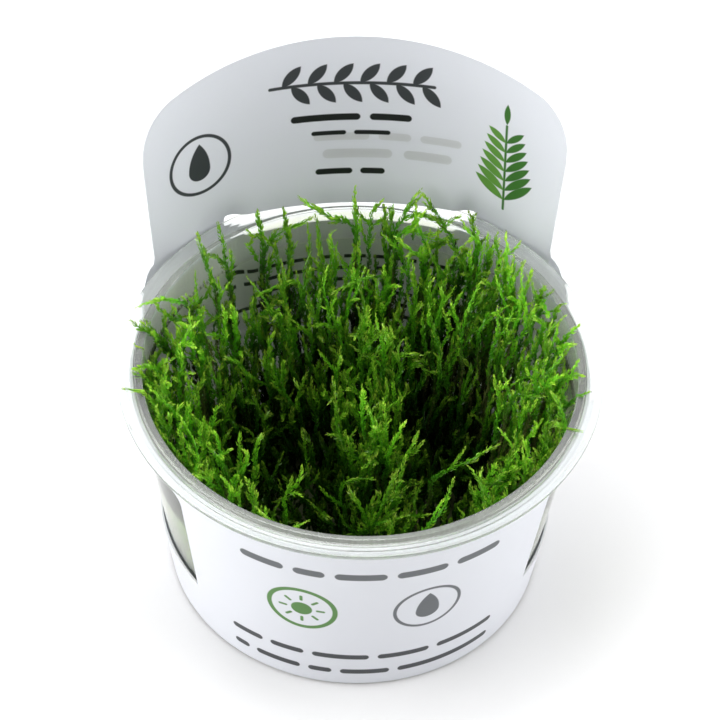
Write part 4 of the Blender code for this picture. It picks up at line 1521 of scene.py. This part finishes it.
ARCHING_SIDES = (
    ((-26.2, 32.0, 58.6), (-25.7, 31.8, 55.5), (-26.0, 31.5, 51.4)),
    ((-22.3, 38.6, 57.5), (-21.2, 38.6, 56.0), (-19.4, 38.5, 55.9), (-17.9, 38.5, 54.5)),
    ((-21.3, 36.5, 57.5), (-22.1, 36.5, 55.3), (-21.3, 36.5, 53.1), (-20.1, 36.5, 50.0)),
    ((0.9, 41.5, 60.5), (1.9, 41.3, 59.3), (3.3, 41.2, 57.3), (4.6, 41.0, 55.9)),
    ((7.0, 41.0, 62.0), (7.5, 40.7, 59.2), (6.4, 40.3, 58.1), (4.7, 40.0, 57.2)),
    ((13.7, 40.0, 63.8), (13.8, 39.8, 61.2), (13.6, 39.7, 58.3), (13.5, 39.5, 52.8)),
    ((23.0, 37.0, 62.5), (21.4, 37.0, 61.5), (20.0, 37.0, 59.8), (19.2, 37.0, 57.8)),
)


def tall_shoots(rng):
    """Shoots that stand out above the rest, each from the gel through its measured points."""
    paths = []
    for path in TALL_SHOOTS:
        up = np.array(path)[::-1]
        foot = np.array([[0.88 * up[0, 0], 0.88 * up[0, 1], MOSS_BOTTOM]])
        half = np.array([[0.96 * up[0, 0], 0.96 * up[0, 1], 0.5 * (MOSS_BOTTOM + up[0, 2])]])
        paths.append(np.concatenate([foot, half, up]))
    return grown(rng, threaded_lines(paths), 0.30, 0.80, 0.95, 1.2, 0.06, 0.20)


def arching_sides(rng):
    """Side shoots of the tall ones, also through measured points, root first."""
    paths = [np.array(path)[::-1] for path in ARCHING_SIDES]
    return grown(rng, threaded_lines(paths), 0.35, 0.80, 0.95, 1.15, 0.03, 0.08)


# How the CAD's tufts share the cup: half angles of the back and the front one in degrees, and
# the oval of the middle one
BACK_HALF_ANGLE = 56.5
FRONT_HALF_ANGLE = 36.5
MIDDLE_HALF_WIDTH = 15.5
MIDDLE_HALF_DEPTH = 16.5
MIDDLE_Y = -4.0


def tuft_of(x, y):
    """Index of the CAD tuft that a root belongs to: back, left, right, front or middle."""
    angle = np.degrees(np.arctan2(x, y))
    size = np.abs(angle)
    side = np.where(angle < 0.0, 1, 2)
    tuft = np.where(size < BACK_HALF_ANGLE, 0, np.where(size > 180.0 - FRONT_HALF_ANGLE, 3, side))
    from_middle = (x / MIDDLE_HALF_WIDTH) ** 2 + ((y - MIDDLE_Y) / MIDDLE_HALF_DEPTH) ** 2
    return np.where(from_middle < 1.0, 4, tuft)


def keep_in_cup(points):
    """Holds points inside the cup's wall while they are below its rim, and above the gel."""
    radius = np.hypot(points[:, 0], points[:, 1])
    limit = cup_inner_radius(points[:, 2]) - 0.2
    limit = np.where(points[:, 2] > RIM_TOP + 0.15, 1e3, limit)
    scale = np.minimum(1.0, limit / np.maximum(radius, 1e-6))
    held = points.copy()
    held[:, 0] *= scale
    held[:, 1] *= scale
    held[:, 2] = np.maximum(held[:, 2], GEL_TOP + 0.05)
    return held


# Heights and the share of light there, for the painted shade: among the shoots, and beside the
# clear wall
LIGHT_AMONG = ((8.0, 20.0, 32.0, 44.0), (0.10, 0.32, 0.78, 1.0))
LIGHT_BESIDE_WALL = ((8.0, 22.0, 40.0), (0.25, 0.7, 1.0))


def lit_share(points):
    """Painted shade among the shoots: how much light reaches a place, up to 1 at the top.

    It rises with the height over the gel, and is higher close to the clear wall.
    """
    radius = np.hypot(points[:, 0], points[:, 1])
    deep = np.interp(points[:, 2], *LIGHT_AMONG)
    wall = smooth_step(-5.5, -1.5, radius - cup_inner_radius(points[:, 2]))
    beside = wall * np.interp(points[:, 2], *LIGHT_BESIDE_WALL)
    return np.maximum(deep, beside)


LEAF_LIGHT_THROUGH = 0.28


def moss_material():
    """Small wet leaves: lime tips, mid and dark greens below, olive stems, and painted shade that
    makes them darker deep down.
    """
    g = Graph("moss_leaves")
    data = g.node("ShaderNodeAttribute", attribute_name="growth")
    split = g.node("ShaderNodeSeparateColor")
    g.link(data.outputs["Color"], split.inputs[0])
    # the second channel is each shoot's random tone times the painted shade that falls with depth
    age, tone, leaf = split.outputs[0], split.outputs[1], split.outputs[2]
    old = data.outputs["Alpha"]
    mixed_age = g.math("MULTIPLY_ADD", leaf, 0.16, g.math("SUBTRACT", age, 0.08), clamp=True)
    green = g.ramp(
        mixed_age,
        [
            (0.0, (0.40, 0.60, 0.06)),
            (0.08, (0.23, 0.50, 0.03)),
            (0.30, (0.125, 0.40, 0.014)),
            (0.58, (0.060, 0.26, 0.010)),
            (0.82, (0.080, 0.15, 0.020)),
            (1.0, (0.11, 0.12, 0.035)),
        ],
    )
    # low values, from a dark tone or from the painted shade, are also tinted a deeper green
    cool = g.mix(g.span(tone, 0.08, 0.7), (0.55, 1.0, 0.5, 1.0), (1.0, 1.0, 1.0, 1.0))
    tinted = g.node("ShaderNodeVectorMath", operation="SCALE")
    g.link(g.mix(1.0, green, cool, "MULTIPLY"), tinted.inputs[0])
    g.link(tone, tinted.inputs["Scale"])
    dark_leaf = g.math("LESS_THAN", leaf, 0.008)
    colour = g.mix(dark_leaf, tinted.outputs[0], (0.012, 0.010, 0.008, 1.0))
    colour = g.mix(old, colour, (0.36, 0.33, 0.20, 1.0))
    shader = g.principled(
        Base_Color=colour,
        Roughness=0.34,
        IOR=1.4,
        Specular_IOR_Level=0.4,
        Coat_Weight=0.32,
        Coat_Roughness=0.10,
    )
    through = g.node("ShaderNodeBsdfTranslucent")
    g.link(colour, through.inputs["Color"])
    mixed = g.node("ShaderNodeMixShader")
    mixed.inputs[0].default_value = LEAF_LIGHT_THROUGH
    g.link(shader.outputs[0], mixed.inputs[1])
    g.link(through.outputs[0], mixed.inputs[2])
    return g.finish(mixed.outputs[0])


TUFTS = ("moss_back", "moss_left", "moss_right", "moss_front", "moss_middle")


def make_moss():
    """The five tufts, each one piece of stems and leaves."""
    rng = np.random.default_rng(SEED)
    mains = upright_shoots(rng, *scattered_roots(rng, MAIN_SPACING))
    tall = tall_shoots(rng)
    arches = arching_sides(rng)
    curtain = wall_shoots(rng, WINDOW_SHOOTS)
    rear = rear_shoots(rng, REAR_SHOOTS)
    fill = short_shoots(rng, *under_the_ring(rng, FILL_SPACING), 14.0, 34.0, 0.85, 1.15)
    low = short_shoots(rng, *shaken_grid(rng, LOW_SPACING), 4.0, 14.0, 1.1, 1.6)
    material = moss_material()
    # shoots, side shoots on each, how far below the tip these start, their shortest and longest
    # length, and the length of the leafy top
    groups = (
        (mains, 2, 20.0, 4.0, 12.0, 34.0),
        (tall, 3, 18.0, 2.0, 7.0, 34.0),
        (arches, 0, 0.0, 0.0, 0.0, 34.0),
        (curtain, 3, 20.0, 3.0, 9.0, 24.0),
        (rear, 1, 18.0, 3.0, 9.0, 26.0),
        (fill, 0, 0.0, 0.0, 0.0, 20.0),
        (low, 0, 0.0, 0.0, 0.0, 14.0),
    )
    for index, node in enumerate(TUFTS):
        parts = []
        for shoots, per_parent, reach, shortest, longest, leafy_length in groups:
            roots = shoots.line[:, 0]
            picked = shoots.chosen(tuft_of(roots[:, 0], roots[:, 1]) == index)
            if not len(picked.length):
                continue
            parts.append(leafy(picked, rng, LEAF_GAP, BARE_GAP, leafy_length))
            parts.append(stems(picked, STEM_GAP))
            if per_parent:
                sides = side_shoots(rng, picked, per_parent, reach, shortest, longest)
                parts.append(leafy(sides, rng, SIDE_LEAF_GAP, SIDE_BARE_GAP, SIDE_LEAFY_LENGTH))
                parts.append(stems(sides, SIDE_STEM_GAP))
        points, faces, tints_and_shade = [], [], []
        offset = 0
        for part_points, part_faces, part_tints in parts:
            points.append(part_points)
            faces.append(part_faces + offset)
            tints_and_shade.append(part_tints)
            offset += len(part_points)
        points = keep_in_cup(np.concatenate(points))
        faces = np.concatenate(faces)
        tints_and_shade = np.concatenate(tints_and_shade)
        # painted shade: the tone is multiplied by the share of light at each point
        tints_and_shade[:, 1] = np.maximum(0.75 + 0.85 * tints_and_shade[:, 1], 0.2) * lit_share(points)
        piece = mesh_piece(node + "_shoots", points, faces, [material], smooth=False)
        layer = piece.data.color_attributes.new("growth", "FLOAT_COLOR", "POINT")
        layer.data.foreach_set("color", tints_and_shade.ravel())
        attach(piece, "root")
        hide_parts(node)


# Floor, light and camera


def make_floor():
    """A wide pale floor under the cup."""
    g = Graph("studio_floor")
    soft = g.noise(g.object_coords(), 3.0, 2.0)
    colour = g.mix(soft, (0.82, 0.82, 0.82, 1.0), (0.85, 0.85, 0.85, 1.0))
    material = g.finish(g.principled(Base_Color=colour, Roughness=0.8).outputs[0])
    size = 3000.0
    points = [[-size, -size, 0], [size, -size, 0], [size, size, 0], [-size, size, 0]]
    floor = mesh_piece("floor", points, [[0, 1, 2, 3]], [material], smooth=False)
    floor.location.z = -0.00005


def add_area(name, place, target, size, power):
    """A soft rectangular light that faces a point."""
    light = bpy.data.lights.new(name, "AREA")
    light.shape = "RECTANGLE"
    light.size, light.size_y = size
    light.energy = power
    thing = bpy.data.objects.new(name, light)
    bpy.context.scene.collection.objects.link(thing)
    thing.location = place
    way = Vector(target) - Vector(place)
    thing.rotation_euler = way.to_track_quat("-Z", "Y").to_euler()


# Soft boxes in the surround: bearing from the front towards +X, height, inner and outer angle
# in degrees, and strength
SOFT_BOXES = (
    (180.0, 74.0, 16.0, 50.0, 1.45),
    (-82.0, 12.0, 13.0, 42.0, 7.0),
    (84.0, 12.0, 12.0, 40.0, 6.2),
    (180.0, 12.0, 8.0, 30.0, 0.9),
)
SURROUND = 0.26
OVERHEAD = 2.8


def make_lights():
    """Soft studio light: a pale surround with large soft boxes in it, and one box overhead."""
    world = bpy.data.worlds.new("studio")
    bpy.context.scene.world = world
    g = Graph("studio", world)
    way = g.node("ShaderNodeTexCoord").outputs["Generated"]
    strength = SURROUND
    for bearing, height, inner, outer, power in SOFT_BOXES:
        turn, rise = math.radians(bearing), math.radians(height)
        centre = (
            math.sin(turn) * math.cos(rise),
            -math.cos(turn) * math.cos(rise),
            math.sin(rise),
        )
        dot = g.node("ShaderNodeVectorMath", operation="DOT_PRODUCT")
        g.link(way, dot.inputs[0])
        dot.inputs[1].default_value = centre
        low, high = math.cos(math.radians(outer)), math.cos(math.radians(inner))
        box = g.span(dot.outputs["Value"], low, high, 0.0, power)
        strength = g.math("ADD", box, strength)
    light = g.node("ShaderNodeBackground")
    g.link(strength, light.inputs["Strength"])
    g.finish(light.outputs[0])
    add_area("overhead", (-0.1, 0.2, 0.9), (0.0, 0.0, 0.05), (0.5, 0.4), OVERHEAD)


# Camera: bearing from the front towards +X, height and roll in degrees, then its target and
# distance in metres, and its lens in mm
CAMERA_ANGLES = (-4.6, 48.349, 2.313)
CAMERA_TARGET = (-0.0001166, 0.0000094, 0.058602)
CAMERA_DISTANCE = 0.7
CAMERA_LENS = 169.026


def make_camera():
    """A long lens that looks down at the cup from the front, turned slightly clockwise."""
    azimuth, elevation, roll = (math.radians(v) for v in CAMERA_ANGLES)
    back = Vector(
        (
            math.sin(azimuth) * math.cos(elevation),
            -math.cos(azimuth) * math.cos(elevation),
            math.sin(elevation),
        )
    )
    right = Vector((math.cos(azimuth), math.sin(azimuth), 0.0))
    up = back.cross(right)
    turned_right = right * math.cos(roll) + up * math.sin(roll)
    turned_up = up * math.cos(roll) - right * math.sin(roll)
    target = Vector(CAMERA_TARGET)
    camera = bpy.data.cameras.new("camera")
    camera.sensor_width = 36.0
    camera.lens = CAMERA_LENS
    camera.clip_start = 0.05
    camera.clip_end = 20.0
    thing = bpy.data.objects.new("camera", camera)
    bpy.context.scene.collection.objects.link(thing)
    axes = Matrix((turned_right, turned_up, back)).transposed().to_4x4()
    thing.matrix_world = Matrix.Translation(target + back * CAMERA_DISTANCE) @ axes
    bpy.context.scene.camera = thing


make_camera()
make_cup()
make_gel()
make_sleeve()
make_moss()
make_floor()
make_lights()
scene = bpy.context.scene
scene.view_settings.view_transform = "Standard"
# light passes many times between the faces of the clear rim
scene.cycles.max_bounces = 18
scene.cycles.glossy_bounces = 10
scene.cycles.transmission_bounces = 18
scene.cycles.diffuse_bounces = 3
